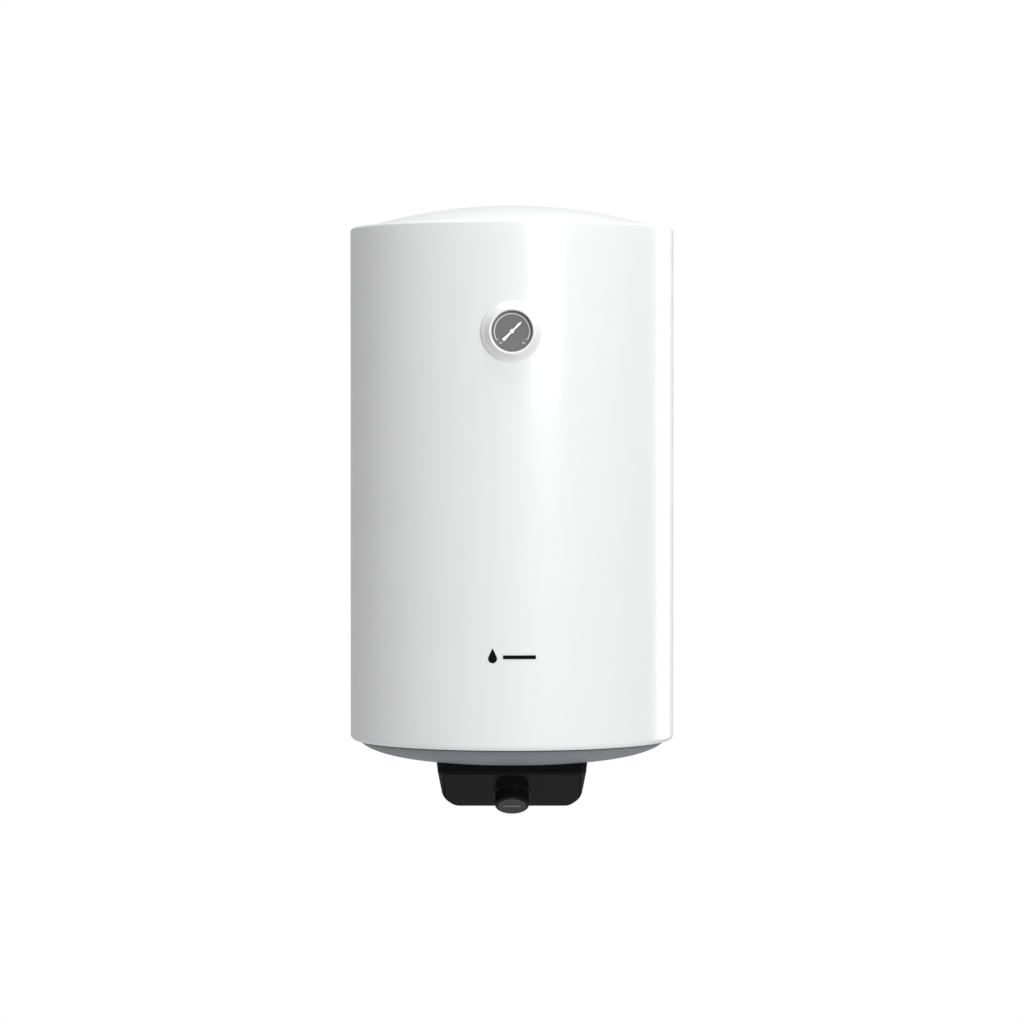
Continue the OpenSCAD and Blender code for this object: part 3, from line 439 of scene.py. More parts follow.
for part in frame["record"]["subparts"]:
    node = nodes[part["node"]]
    node.data.materials.clear()
    node.data.materials.append(slotSurfaces[part["material_slot"]])
print("CAD nodes dressed")


# Domes are given as radius, height and the two powers p and q.
casing = {"topCurl": 4.0, "bottomCurl": 8.0, "sheet": 0.6, "segments": 288,
          "topDome": (209.0, 31.4, 2.0, 1.0), "bottomDome": (212.0, 30.5, 3.2, 1.6),
          "topSheet": 0.8, "bottomWall": 2.2, "brim": 224.2, "opening": 68.0,
          "screwAt": (64.0, 48.0), "post": (1.7, 5.0), "postHead": -24.0, "postFoot": 2.7}


# Dome height h (1 - (r / R)^p)^(1/q), sampled closer together towards the rim.
def domeLine(size, grow=0.0, opening=0.0, steps=48):
    radius, height, p, q = size
    r = (radius + grow) * np.sin(np.linspace(math.asin(opening / (radius + grow)), np.pi / 2, steps))
    z = (height + grow) * np.maximum(0, 1 - (r / (radius + grow)) ** p) ** (1 / q)
    return np.stack([r, z], -1)


# Sheet tube whose two edges are rolled in: outer quarter circles joined by a straight wall, and the
# same line again one sheet thickness inside.
def makeJacket():
    low, high, r, h = casing["bottomCurl"], casing["topCurl"], jacketRadius, jacketHeight
    straight = np.linspace(low, h - high, 26)[1:-1]

    def wallLine(inset):
        return np.concatenate([arcPoints(r - low, low, low - inset, -90, 0, 14),
                               np.stack([np.full_like(straight, r - inset), straight], -1),
                               arcPoints(r - high, h - high, high - inset, 0, 90, 10)])
    profile = np.concatenate([wallLine(0.0), wallLine(casing["sheet"])[::-1]])
    return turned("jacketSheet", profile, tankPlace, casing["segments"], 50)


# A cap: the dome outside, its own line again inside, and a brim that reaches to the sheet.
def capProfile(dome, wall, depth, opening=0.0):
    outer, inner = domeLine(dome, 0.0, opening), domeLine(dome, -wall, opening)[::-1]
    r, brim = dome[0], casing["brim"]
    step = softened([(r, 0.6), (r, -depth), (brim, -depth), (brim, -depth - wall), (r - wall, -depth - wall),
                     (r - wall, -0.4)], 0.7, 4)
    return np.concatenate([outer[:-1], step[2:-2], inner[1:]])


def makeUpperCap():
    profile = capProfile(casing["topDome"], casing["topSheet"], casing["topCurl"]) + [0, jacketHeight]
    return turned("upperCap", profile, tankPlace, casing["segments"], 50)


# The lower cap hangs upside down, open inside the cover, with a post for each cover screw.
def makeLowerCap():
    shell = capProfile(casing["bottomDome"], casing["bottomWall"], casing["bottomCurl"], casing["opening"])
    parts = [latheParts(shell * [1, -1], tankPlace, casing["segments"])]
    (inner, outer), (screwX, screwY) = casing["post"], casing["screwAt"]
    foot, head = float(coverLow[2]) - bottomZ + casing["postFoot"], casing["postHead"]
    post = softened([(inner, foot), (outer, foot), (outer, head), (inner, head)], 0.4, 4)
    parts += [latheParts(post, uprightAt(side * screwX, screwY), 32) for side in (-1, 1)]
    return joined("lowerCap", parts, 50)


# Dark strip in the joint between the sheet's lower curl and the lower dome: a black seal that also serves as
# painted shade, standing in for the shadow in that gap.
def makeRimShadeSeal():
    inner, outer = casing["bottomDome"][0] + 0.15, jacketRadius - casing["bottomCurl"] - 0.15
    strip = softened([(inner, 5.0), (inner, -1.6), (inner + 1.2, -1.65), (outer, -0.2), (outer, 5.0)], 0.3, 4)
    return turned("rimShadeSeal", strip, tankPlace, casing["segments"], 50)


dress(makeRimShadeSeal(), "heater", "black_rubber")
dress(makeJacket(), "heater", "white_enamel", "jacket")
dress(makeUpperCap(), "heater", "white_enamel", "top_cap")
dress(makeLowerCap(), "heater", "grey_plastic", "bottom_cap")
print("casing made")


gauge = {"bezelWidth": 3.4, "bossBase": 40.5, "bossHeight": 13.0, "dialHeight": 7.3, "neckDepth": -12.0,
         "scaleRadius": 23.5, "scaleWidth": 1.3, "scaleReach": 119.0, "print": (0.01, 0.08),
         "numbers": {"20": -15.4, "80": 15.4}, "numberDrop": -15.6, "numberSize": 4.2}
gauge["glass"] = float(bezelHigh[0] - bezelLow[0]) / 2 - gauge["bezelWidth"]


# Depth of the jacket behind the gauge's plane at a sideways distance x: R - sqrt(R^2 - x^2).
def jacketDrop(x):
    return jacketRadius - np.sqrt(jacketRadius ** 2 - np.asarray(x) ** 2)


# A flared boss: rows run from the jacket up a hollow-sided flare, over the rim and down the bore.
# The first and last rows follow the jacket, whose depth depends on how far to the side a column is.
def makeBoss():
    base, glass, height, neck = gauge["bossBase"], gauge["glass"], gauge["bossHeight"], gauge["neckDepth"]
    rim = glass + 3.6
    t = np.linspace(0, 1, 22)
    flareR = base - 0.9 - (base - 0.9 - rim - 0.9) * t
    flareZ = 2.0 + (height - 3.0) * t ** 1.25
    edge = arcPoints(base - 1.4, 1.0, 1.4, 0, 60, 6)
    lip = arcPoints(rim - 0.4, height - 1.2, 1.2, 25, 90, 7)
    bore = [(glass + 1.4, height), (glass + 1.4, height - 1.6), (glass - 0.2, height - 1.6),
            (glass - 0.2, 0.0), (glass - 0.2, neck), (glass + 1.8, neck), (glass + 1.8, 0.0)]
    profile = np.concatenate([[(base, 0.0)], edge, np.stack([flareR, flareZ], -1)[1:-1], lip, bore])
    grid = latheGrid(profile, 192)
    drop = jacketDrop(grid[..., 0]) + 0.15
    for row in (0, -1):
        grid[row, :, 2] -= drop[row]
    return pieceFrom("gaugeBoss", gaugePlace.put(grid), gridFaces(len(profile), 192, wrapRows=True), 40)


def makeBezel():
    inner, outer, low = gauge["glass"], gauge["glass"] + gauge["bezelWidth"], gauge["bossHeight"]
    profile = softened([(inner, low + 0.05), (outer, low + 0.05), (outer, low + 1.9),
                        (inner + 3.0, low + 2.6), (inner + 0.8, low + 2.6), (inner, low + 1.3)], 0.5, 6)
    return turned("gaugeBezel", profile, gaugePlace, 160, 60)


def makeLens():
    r, low, high = gauge["glass"] + 1.3, gauge["bossHeight"] - 1.55, gauge["bossHeight"] - 0.05
    profile = [(0, low), (r - 0.2, low), (r, low + 0.2), (r, high - 0.2), (r - 0.2, high), (0, high)]
    return turned("gaugeLens", profile, gaugePlace, 160, 30)


# Printed marks are thin slabs on the dial.
def printParts(outline):
    low, high = gauge["print"]
    return slabParts(outline, gauge["dialHeight"] + low, gauge["dialHeight"] + high, 0.02, gaugePlace, 2)


# Flat arc band about the scale's radius, over clock angles in degrees from the top.
def bandParts(inner, outer, reach, steps=120):
    a = np.radians(np.linspace(-reach, reach, steps))
    side = np.stack([np.sin(a), np.cos(a)], -1)
    return printParts(np.concatenate([side * outer, side[::-1] * inner]))


# A mark that points at the hub, at a clock angle.
def tickParts(angle, inner, outer, width):
    a = math.radians(angle)
    out, side = np.array([math.sin(a), math.cos(a)]), np.array([math.cos(a), -math.sin(a)]) * width / 2
    return printParts([out * inner - side, out * inner + side, out * outer + side, out * outer - side])


def makeDial():
    top, outer = gauge["dialHeight"], gauge["glass"] - 0.3
    plate = [(1.2, top - 0.8), (outer, top - 0.8), (outer, top - 0.12), (outer - 0.12, top), (1.2, top)]
    return turned("gaugeDial", plate, gaugePlace, 160, 30)


def makeScale():
    reach, r, w = gauge["scaleReach"], gauge["scaleRadius"], gauge["scaleWidth"]
    parts = [bandParts(r - w / 2, r + w / 2, reach)]
    parts += [tickParts(angle, r - 3.0, r + w / 2, 0.7) for angle in (-reach, reach)]
    return joined("gaugeScale", parts, 30)


# A number set flat on the dial, made into a mesh and then carried to its place.
def makeNumber(text, x):
    name = "dialNumber" + text
    curve = bpy.data.curves.new(name, "FONT")
    curve.body, curve.size, curve.align_x, curve.align_y = text, gauge["numberSize"], "CENTER", "CENTER"
    curve.extrude = 0.03
    holder = linked(name, curve)
    bpy.context.view_layer.update()
    shape = bpy.data.meshes.new_from_object(holder.evaluated_get(bpy.context.evaluated_depsgraph_get()))
    bpy.data.objects.remove(holder)
    flat = np.zeros(len(shape.vertices) * 3)
    shape.vertices.foreach_get("co", flat)
    local = flat.reshape(-1, 3) + [x, gauge["numberDrop"], gauge["dialHeight"] + 0.05]
    shape.vertices.foreach_set("co", (gaugePlace.put(local) * mm).ravel())
    shape.name = name
    finishShading(shape, 30)
    return linked(name, shape)


# The last two sizes grow and stretch the dark plate of painted shadow under the blade.
needle = {"angle": 45.0, "tip": 18.5, "tail": 17.0, "wide": 1.85, "waist": 1.0, "end": 2.3, "low": 8.1,
          "thick": 0.7, "edge": 0.75, "shadowStretch": 1.02}


# The needle's outline: a half width at each station along it, turned clockwise by the resting angle.
def needleOutline(grow=0.0, stretch=1.0):
    tip, tail, wide, waist, end = [needle[key] for key in ("tip", "tail", "wide", "waist", "end")]
    station = np.array([-tail, -tail + 0.8, -2.6, -1.6, 1.6, 3.0, tip - 5.6, tip - 4.6, tip - 1.0, tip])
    half = np.array([end - 0.15, end, 1.25, waist, waist, 1.2, wide - 0.1, wide, 0.42, 0.12]) + grow
    outline = np.concatenate([np.stack([half, station * stretch], -1),
                              np.stack([-half, station * stretch], -1)[::-1]])
    a = math.radians(-needle["angle"])
    return outline @ np.array([[math.cos(a), math.sin(a)], [-math.sin(a), math.cos(a)]])


# Needle: a blade with both edges rounded, and a round hub with a small cap over its middle.
def makeNeedle():
    low = needle["low"]
    blade = slabParts(needleOutline(), low, low + needle["thick"], 0.16, gaugePlace, 3)
    hub = latheParts(softened([(0.95, low - 0.1), (2.9, low - 0.1), (3.0, low + 0.9), (2.3, low + 1.25),
                               (0.95, low + 1.3)], 0.3, 4), gaugePlace, 48)
    cap = latheParts([(0, low + 1.05), (0.94, low + 1.05), (0.9, low + 1.5), (0.6, low + 1.6),
                      (0, low + 1.62)], gaugePlace, 32)
    return joined("gaugeNeedle", [blade, hub, cap], 40)


# Dark plate under the blade, a little larger, which outlines it: painted shadow round the needle's edges.
def makeNeedleShadow():
    outline = needleOutline(needle["edge"], needle["shadowStretch"])
    return joined("needleShadow", [slabParts(outline, needle["low"] - 0.25, needle["low"] - 0.02, 0.05,
                                           gaugePlace, 2)], 40)


dress(makeBoss(), "heater", "white_plastic", "gauge_boss")
dress(makeBezel(), "heater", "white_plastic", "gauge_bezel")
dress(makeLens(), "heater", "clear_lens", "gauge_lens")
dress(makeDial(), "heater", "dial_grey", "gauge_dial")
dress(makeScale(), "heater", "dial_grey", surface=dialPrint)
for text, x in gauge["numbers"].items():
    dress(makeNumber(text, x), "heater", "dial_grey", surface=dialPrint)
dress(makeNeedle(), "needle", "white_plastic", "gauge_pointer")
dress(makeNeedleShadow(), "needle", "white_plastic", surface=slotSurfaces["black_rubber"])
print("gauge made")


cover = {"width": 187.5, "topWidth": 211.5, "front": 105.0, "back": 70.0, "crease": -39.0, "corner": 20.6,
         "backCorner": 14.0, "wall": 2.5, "plate": 2.0, "edge": 3.0, "inset": 0.85, "gap": 0.5,
         "sideGap": 0.6, "groove": 1.9, "drawn": (3.0, 34.0), "well": (4.2, 2.2)}
cover["floor"] = float(coverLow[2]) - bottomZ
cover["slope"] = math.atan2(-knobAxis[1], -knobAxis[2])
cover["rise"] = math.tan(cover["slope"])
cover["foot"] = cover["front"] - (cover["crease"] - cover["floor"]) / cover["rise"]


# Underside of the lower dome at a distance from the tank axis.
def domeUnder(r):
    radius, height, p, q = casing["bottomDome"]
    return -height * np.maximum(0, 1 - (np.minimum(r, radius) / radius) ** p) ** (1 / q)


# How far the outline has drawn in at height z: R - sqrt(r^2 - (floor + R - z)^2), where r is the
# corner radius less an inset.
def cornerSwing(z, inset=0.0):
    down = np.maximum(0, cover["floor"] + cover["corner"] - z)
    return cover["corner"] - inset - np.sqrt(np.maximum(0, (cover["corner"] - inset) ** 2 - down ** 2))


# Forward distance of the front at height z: upright down to the crease, then running back down the
# slope; `behind` is measured square to each plane.
def frontAt(z, behind=0.0):
    slope = cover["slope"]
    return np.minimum(cover["front"] - behind,
                      cover["foot"] - behind / math.sin(slope) + (z - cover["floor"]) / cover["rise"])


# One closed loop per height. Half of it runs from the middle of the front across the rebate that
# takes the fascia, up its step, round the front corner, along the side and round the back corner.
def coverLoops(z, half, rebate, flush, sunk, back, backRadius):
    sizes = (z, half, rebate, flush, sunk, back, backRadius)
    z, half, rebate, flush, sunk, back, backRadius = [
        np.broadcast_to(size, np.shape(z)).astype(float)[:, None] for size in sizes]
    turn = np.linspace(0, np.pi / 2, 8)[None]
    lip = np.clip((half - rebate) * 0.8, 0.05, 7)
    shoulder = np.minimum(0.35, (half - rebate) * 0.2)
    x = np.concatenate([half * 0 + 0.3, rebate, rebate, rebate + shoulder, half - lip + lip * np.sin(turn),
                        half - backRadius + backRadius * np.cos(turn)], 1)
    y = np.concatenate([-sunk, -sunk, -flush + shoulder, -flush + 0 * half, -flush + lip - lip * np.cos(turn),
                        back - backRadius + backRadius * np.sin(turn)], 1)
    x, y = np.concatenate([x, -x[:, ::-1]], 1), np.concatenate([y, y[:, ::-1]], 1)
    return np.stack([x, y, np.repeat(z, x.shape[1], 1)], -1)


# The sides lean outwards in step with the height; rows above the crease are later drawn together
# under the dome, so their lean follows the height they end at.
def coverLean(z):
    start, last = (cover["crease"] + above for above in cover["drawn"])
    top = float(domeUnder(115.0))
    ends = np.where(z > start, start + (z - start) * (top - start) / (last - start), z)
    return (cover["topWidth"] - cover["width"]) / 2 * (ends - cover["floor"]) / (-12 - cover["floor"])


# Rows above the crease are spread evenly between the last row below it and the dome.
def drawUnderDome(loops):
    rows = loops[:, 0, 2] > cover["crease"] + cover["drawn"][0]
    start = loops[~rows][-1, 0, 2]
    under = domeUnder(np.hypot(loops[rows][..., 0], loops[rows][..., 1])) - 0.3
    loops[rows, :, 2] = start + np.linspace(0, 1, rows.sum() + 1)[1:, None] * (under - start)


# Screw wells in the floor, each a ring of corners at the floor and one at the well's depth.
def coverWells(steps):
    (x, y), (radius, deep), floor = casing["screwAt"], cover["well"], cover["floor"]
    circle = arcPoints(0, 0, radius, 0, 360 - 360 / steps, steps)
    rims = [circle + [side * x, y] for side in (-1, 1)]
    return [np.c_[rim, np.full(steps, z)] for rim in rims for z in (floor, floor + deep)]


def makeCoverBody():
    floor, crease, corner, wall = cover["floor"], cover["crease"], cover["corner"], cover["wall"]
    plate, edge, lipLow = cover["plate"] + 0.05, cover["edge"], cover["inset"] - cover["gap"]
    arcDown = floor + corner - (corner - lipLow) * np.cos(np.linspace(0.02, np.pi / 2, 26))
    foot = np.array([floor, floor + lipLow * 0.5, floor + lipLow])
    low, high = cover["drawn"]
    z = np.concatenate([foot, arcDown, np.linspace(floor + corner, crease - 3, 10)[1:],
                        crease + np.array([-1.5, -0.5, 0.5, 1.0, 1.5, low]),
                        crease + np.linspace(low + 2, high, 10)])
    half = cover["width"] / 2 + coverLean(z) - cornerSwing(z)
    rebate = cover["width"] / 2 - lipLow - cornerSwing(z, lipLow) + 0.15 * coverLean(z)
    depth = np.where(np.arange(len(z)) < len(foot), 0.0, plate + cover["groove"])
    sunk = np.array([float(frontAt(level, behind)) for level, behind in zip(z, depth)])
    tuck = edge - np.sqrt(np.maximum(0, edge ** 2 - np.maximum(0, floor + edge - z) ** 2))
    outer = coverLoops(z, half, rebate, frontAt(z), sunk, cover["back"] - tuck, cover["backCorner"] - tuck)

    z = np.concatenate([[floor + wall], z[z >= floor + wall]])
    down = np.maximum(0, floor + corner - z)
    turnIn = corner - wall - np.sqrt(np.maximum(0.01, (corner - wall) ** 2 - down ** 2))
    half, front = cover["width"] / 2 + coverLean(z) - wall - turnIn, frontAt(z, plate + wall)
    inner = coverLoops(z, half, half - 1.0, front, front, cover["back"] - wall, cover["backCorner"] - wall)
    drawUnderDome(outer)
    drawUnderDome(inner)

    grid, steps = np.concatenate([outer, inner[::-1]]), 24
    rows, n = grid.shape[:2]
    points = np.concatenate([grid.reshape(-1, 3)] + coverWells(steps))
    faces = gridFaces(rows, n).tolist() + [[(rows - 1) * n + k for k in range(n)][::-1]]
    holes = []
    for start in (rows * n, rows * n + 2 * steps):
        faces += (gridFaces(2, steps) + start).tolist() + [[start + steps + k for k in range(steps)]]
        holes.append([start + k for k in range(steps)])
    return meshWithFilledFloor("coverBody", tankPlace.put(points), faces, [list(range(n))] + holes)


# The loops given are joined by triangles into one flat face with holes in it.
def meshWithFilledFloor(name, points, faces, loops):
    work = bmesh.new()
    verts = [work.verts.new(p) for p in (np.asarray(points) * mm).tolist()]
    for face in faces:
        work.faces.new([verts[v] for v in face])
    edges = []
    for loop in loops:
        for a, b in zip(loop, loop[1:] + loop[:1]):
            edges.append(work.edges.get((verts[a], verts[b])) or work.edges.new((verts[a], verts[b])))
    bmesh.ops.triangle_fill(work, use_beauty=True, use_dissolve=False, edges=edges)
    bmesh.ops.remove_doubles(work, verts=work.verts, dist=mergeWithin)
    bmesh.ops.recalc_face_normals(work, faces=work.faces)
    return closeWork(name, bpy.data.meshes.new(name), work, 38)


# The fascia: a row at each station down the upright band, round the crease and down the slope; in each
# row the half width is constant, and near the floor it follows the corner's quarter circle.
def makeFascia():
    floor, crease, corner, slope = cover["floor"], cover["crease"], cover["corner"], cover["slope"]
    bend, inset, upright = 3.0, cover["inset"], 8
    outAngle = np.linspace(0, math.pi / 2 - slope, 9)
    reach = bend * math.tan((math.pi / 2 - slope) / 2)
    bendY = cover["front"] - bend + bend * np.cos(outAngle)
    bendZ = crease + reach - bend * np.sin(outAngle)
    cornerZ = floor + corner - (corner - inset) * np.sin(np.linspace(0, np.pi / 2, 26))[1:]
    slopeZ = np.concatenate([np.linspace(bendZ[-1], floor + corner, 14)[1:], cornerZ])
    slopeY = cover["foot"] + (slopeZ - floor) / cover["rise"]
    columns = np.linspace(-1, 1, 61)
    frontY = np.concatenate([np.full(upright, cover["front"]), bendY, slopeY])
    frontZ = np.concatenate([np.zeros(upright), bendZ, slopeZ])
    half = cover["width"] / 2 - inset - cornerSwing(frontZ, inset) - cover["sideGap"]
    x = half[:, None] * columns[None]
    y, z = roundRing(-frontY, len(columns)), roundRing(frontZ, len(columns))
    top = domeUnder(np.hypot(x[0], y[0])) - 0.5
    z[:upright] = top[None] + np.linspace(0, 1, upright + 1)[:upright, None] * (bendZ[0] - top[None])
    faces = gridFaces(len(x), len(columns), False, False)
    piece = pieceFrom("coverFascia", tankPlace.put(np.stack([x, y, z], -1)), faces, 40, recalculate=False)
    return thicken(piece, cover["plate"], -1, 0.45)


dress(makeCoverBody(), "heater", "black_plastic", "terminal_cover")
dress(makeFascia(), "heater", "black_gloss", "fascia")
print("cover made")


knob = {"skirt": 26.6, "grip": 23.4, "face": 18.2, "height": 22.6, "base": 1.6, "bar": (26.0, 4.4),
        "ring": 34.5, "beads": (34.0, 30.0)}


# Knob: skirt, straight grip, short chamfer and a dished end, all one closed profile that returns up
# the hollow inside.
def makeKnob():
    skirt, grip, face, h, base = [knob[key] for key in ("skirt", "grip", "face", "height", "base")]
    outer = softened([(skirt - 2.4, base), (skirt, base), (skirt, base + 1.4), (skirt - 0.9, base + 2.2),
                      (grip + 0.1, base + 2.3), (grip - 0.05, h - 1.8), (grip - 1.1, h - 1.0),
                      (face + 0.5, h - 0.35), (face + 0.5, h - 1.15)],
                     [0.4, 0.4, 0.5, 0.3, 0.4, 0.5, 0.5, 0.15, 0.2], 5)[3:-3]
    inner = [(0.0, h - 1.2), (0.0, h - 4.0), (grip - 2.6, h - 4.0), (grip - 2.6, base + 0.4),
             (skirt - 2.4, base)]
    return turned("knobGrip", np.concatenate([outer, inner]), knobPlace, 160, 40)


def makeKnobFace():
    r, h = knob["face"] - 0.9, knob["height"]
    return turned("knobFace", [(0, h - 1.19), (r, h - 1.19), (r, h - 0.62), (0, h - 0.5)], knobPlace, 96, 30)


# Bright turned edge round the face.
def makeKnobEdge():
    r, h = knob["face"], knob["height"]
    ring = softened([(r - 0.88, h - 1.19), (r + 0.42, h - 1.19), (r + 0.42, h - 0.35), (r + 0.1, h - 0.02),
                     (r - 0.5, h - 0.05), (r - 0.88, h - 0.5)], 0.2, 4)
    return turned("knobEdge", ring, knobPlace, 160, 50)


# Pointer bar across the face: a long rounded outline, its upper edges rounded over.
def makeKnobBar():
    length, width = knob["bar"]
    r = width / 2
    outline = np.concatenate([arcPoints(length / 2 - r, 0, r, -90, 90, 12),
                              arcPoints(-length / 2 + r, 0, r, 90, 270, 12)])
    return joined("knobBar", [slabParts(outline, knob["height"] - 0.6, knob["height"], 0.2, knobPlace)], 40)


# Ring plate on the panel: two raised lines with a flat between them.
def makeRingPlate():
    r = knob["ring"]
    profile = softened([(20.2, 0.02), (r, 0.02), (r, 0.5), (33.6, 0.9), (32.8, 0.55), (30.4, 0.55),
                        (29.8, 0.85), (29.0, 0.55), (20.2, 0.55)], 0.3, 5)
    return turned("knobRing", profile, knobPlace, 160, 40)


# Two fine beads that stand on the ring plate.
def makeRingBeads():
    beads = [softened([(r - 0.45, 0.5), (r + 0.45, 0.5), (r + 0.3, 1.1), (r - 0.3, 1.1)], 0.2, 4)
             for r in knob["beads"]]
    return joined("knobRingBeads", [latheParts(bead, knobPlace, 160) for bead in beads], 50)


dress(makeKnob(), "knob", "black_plastic", "control_knob", surface=knobSatin)
dress(makeKnobFace(), "knob", "satin_grey", "knob_cap")
dress(makeKnobEdge(), "knob", "satin_grey", surface=knobEdgeGrey)
dress(makeKnobBar(), "knob", "satin_grey", surface=pointerGrey)
dress(makeRingPlate(), "heater", "black_gloss", "knob_dial_plate")
dress(makeRingBeads(), "heater", "black_gloss", surface=beadGrey)
print("knob made")


pipe = {"radius": 10.48, "bore": 7.5, "thread": 16.0, "pitch": 1.814, "depth": 1.0, "back": 105.0,
        "side": 50.0, "collar": 8.5, "collarLow": -34.5}


# Pipe nipple: a tube, and over its end a screw thread that fades in and out.
def makeNipple(name, source, side):
    low, high = boxOf(source)
    tip, end, segments = low[2] - bottomZ, high[2] - bottomZ, 48
    radius, bore, depth, thread = pipe["radius"], pipe["bore"], pipe["depth"], pipe["thread"]
    z = np.linspace(tip, tip + thread + 2, 118)
    run = np.clip((z - tip) / 1.6, 0.25, 1)
    out = np.clip((tip + thread + 1.6 - z) / 1.2, 0, 1)
    cut = threadWave(z, tip, pipe["pitch"], segments) * np.minimum(run, out)[:, None]
    threaded = np.maximum(radius - (1 - run[:, None]) * depth - depth * cut, radius - depth - 0.4)
    radii = np.concatenate([threaded, roundRing([radius, radius, bore, bore], segments)])
    heights = np.concatenate([z, [z[-1] + 0.2, end, end, tip]])
    place = uprightAt(side * pipe["side"], pipe["back"])
    return joined(name, [ringParts(radii, heights, place, segments)], 30)


# A turned piece under the dome: heights that would stand above the dome come down to it.
def turnedUnderDome(name, profile, place):
    world = place.put(latheGrid(profile, 96))
    under = domeUnder(np.hypot(world[..., 0] - axisX, world[..., 1] - axisY)) + bottomZ - 0.1
    world[..., 2] = np.minimum(world[..., 2], under)
    return pieceFrom(name, world, gridFaces(len(profile), 96, wrapRows=True), 40)


# Collar: a washer whose upper side follows the dome and whose lower side has rounded steps.
def makeCollar(name, side):
    inner, outer, low = pipe["radius"] + 0.15, pipe["radius"] + pipe["collar"], pipe["collarLow"]
    steps = softened([(inner, low + 4), (inner, low), (inner + 4.0, low), (inner + 4.8, low + 1.4),
                      (outer - 0.8, low + 1.9), (outer, low + 3.0), (outer, low + 8)], 0.5, 5)[3:-3]
    return turnedUnderDome(name, np.concatenate([steps, [(outer, 0.0), (inner, 0.0)]]),
                           uprightAt(side * pipe["side"], pipe["back"]))


for kind, side in (("cold", 1), ("hot", -1)):
    dress(makeNipple(kind + "Pipe", kind + "_nipple", side), "heater", "zinc_steel", kind + "_nipple")
dress(makeCollar("coldCollar", 1), "heater", "blue_plastic", "cold_collar")
dress(makeCollar("hotCollar", -1), "heater", "red_plastic", "hot_collar")
print("pipes made")


hardware = {"boltSpread": 45.0, "stud": 4.0, "studStart": 190.75, "studThread": 10.0, "studPitch": 1.25,
            "studDepth": 0.65, "nutAcross": 13.0, "nutHeight": 6.5, "clear": 0.1, "spacer": 9.0,
            "webStand": 1.0}
bracket = {"sheet": 3.0, "bend": 3.0, "web": 76.5, "height": 50.0, "corner": 5.0, "slot": (110.0, 25.0, 11.0),
           "hole": 4.1, "steps": 16}


# Radius of a hexagon at an angle: (across / 2) / cos(angle mod 60 deg - 30 deg).
def hexRadius(angle, across):
    return across / 2 / np.cos(np.mod(angle, np.pi / 3) - np.pi / 6)


# Hexagon prism: the radius is the lesser of the hexagon and a cone at each end, which cuts its corners.
def hexRows(z, height, across, steepness, segments):
    cone = across * 0.475 + np.minimum(z, height - z) * steepness
    return np.minimum(hexRadius(roundAngles(segments), across)[None], cone[:, None])


def nutParts(place, across, height, bore):
    segments = 96
    z = np.concatenate([np.linspace(0, 1.2, 7), np.linspace(height - 1.2, height, 7)])
    outside = hexRows(z, height, across, math.tan(math.radians(60)), segments)
    radius = np.concatenate([outside, roundRing([bore + 0.45, bore, bore, bore + 0.45], segments)])
    return ringParts(radius, np.concatenate([z, [height, height - 0.5, 0.5, 0.0]]), place, segments)


# Threaded rod: the radius less the thread's depth over its upper length, plain below.
def studParts(place, radius, low, high, thread, pitch, depth):
    segments = 32
    z = np.linspace(high - thread, high, int(thread / pitch * 8) + 1)
    fade = np.clip((z - z[0]) / pitch, 0, 1)[:, None]
    blunt = np.clip(high - z, 0, 1)[:, None]
    wave = radius - depth * fade * np.maximum(threadWave(z, high, pitch, segments), 1 - blunt)
    radii = np.concatenate([roundRing([0.0, radius, radius], segments), wave, roundRing([0.0], segments)])
    return ringParts(radii, np.concatenate([[low, low, z[0] - 0.2], z, [high]]), place, segments)


# The four bolts' axes; `along` moves the start of each out from the tank's axis.
def atBolts(along=0.0):
    places = []
    for name in ("upper_bracket", "lower_bracket"):
        low, high = boxOf(name)
        for side in (-1, 1):
            point = (side * hardware["boltSpread"], axisY + along, (low[2] + high[2]) / 2)
            places.append(Place(point, (0, 1, 0)))
    return places


def makeNuts():
    seat = jacketRadius + hardware["webStand"] + bracket["sheet"] + 0.02
    across, height, bore = hardware["nutAcross"], hardware["nutHeight"], hardware["stud"] + hardware["clear"]
    return joined("bracketNuts", [nutParts(place, across, height, bore) for place in atBolts(seat)], 25)


def makeStuds():
    tip = float(boxOf("bracket_bolts")[1][1]) - axisY
    sizes = (hardware["stud"], hardware["studStart"], tip, hardware["studThread"], hardware["studPitch"],
             hardware["studDepth"])
    return joined("bracketStuds", [studParts(place, *sizes) for place in atBolts()], 30)


# Sleeve: its far end is flat, its near end follows the jacket, whose depth is sqrt(R^2 - x^2).
def makeSpacers():
    parts, outer, inner = [], hardware["spacer"], hardware["stud"] + hardware["clear"]
    flat = jacketRadius + hardware["webStand"]
    profile = [(outer, 0.0), (outer, flat - 0.6), (outer - 0.17, flat - 0.17), (outer - 0.6, flat),
               (inner + 0.3, flat), (inner, flat - 0.3), (inner, 0.0)]
    for place in atBolts():
        grid = latheGrid(profile, 64)
        curve = np.sqrt((jacketRadius + 0.1) ** 2 - (grid[..., 0] + place.point[0]) ** 2)
        grid[0, :, 2], grid[-1, :, 2] = curve[0], curve[-1]
        parts.append((place.put(grid).reshape(-1, 3), gridFaces(len(profile), 64, wrapRows=True)))
    return joined("bracketSpacers", parts, 40)


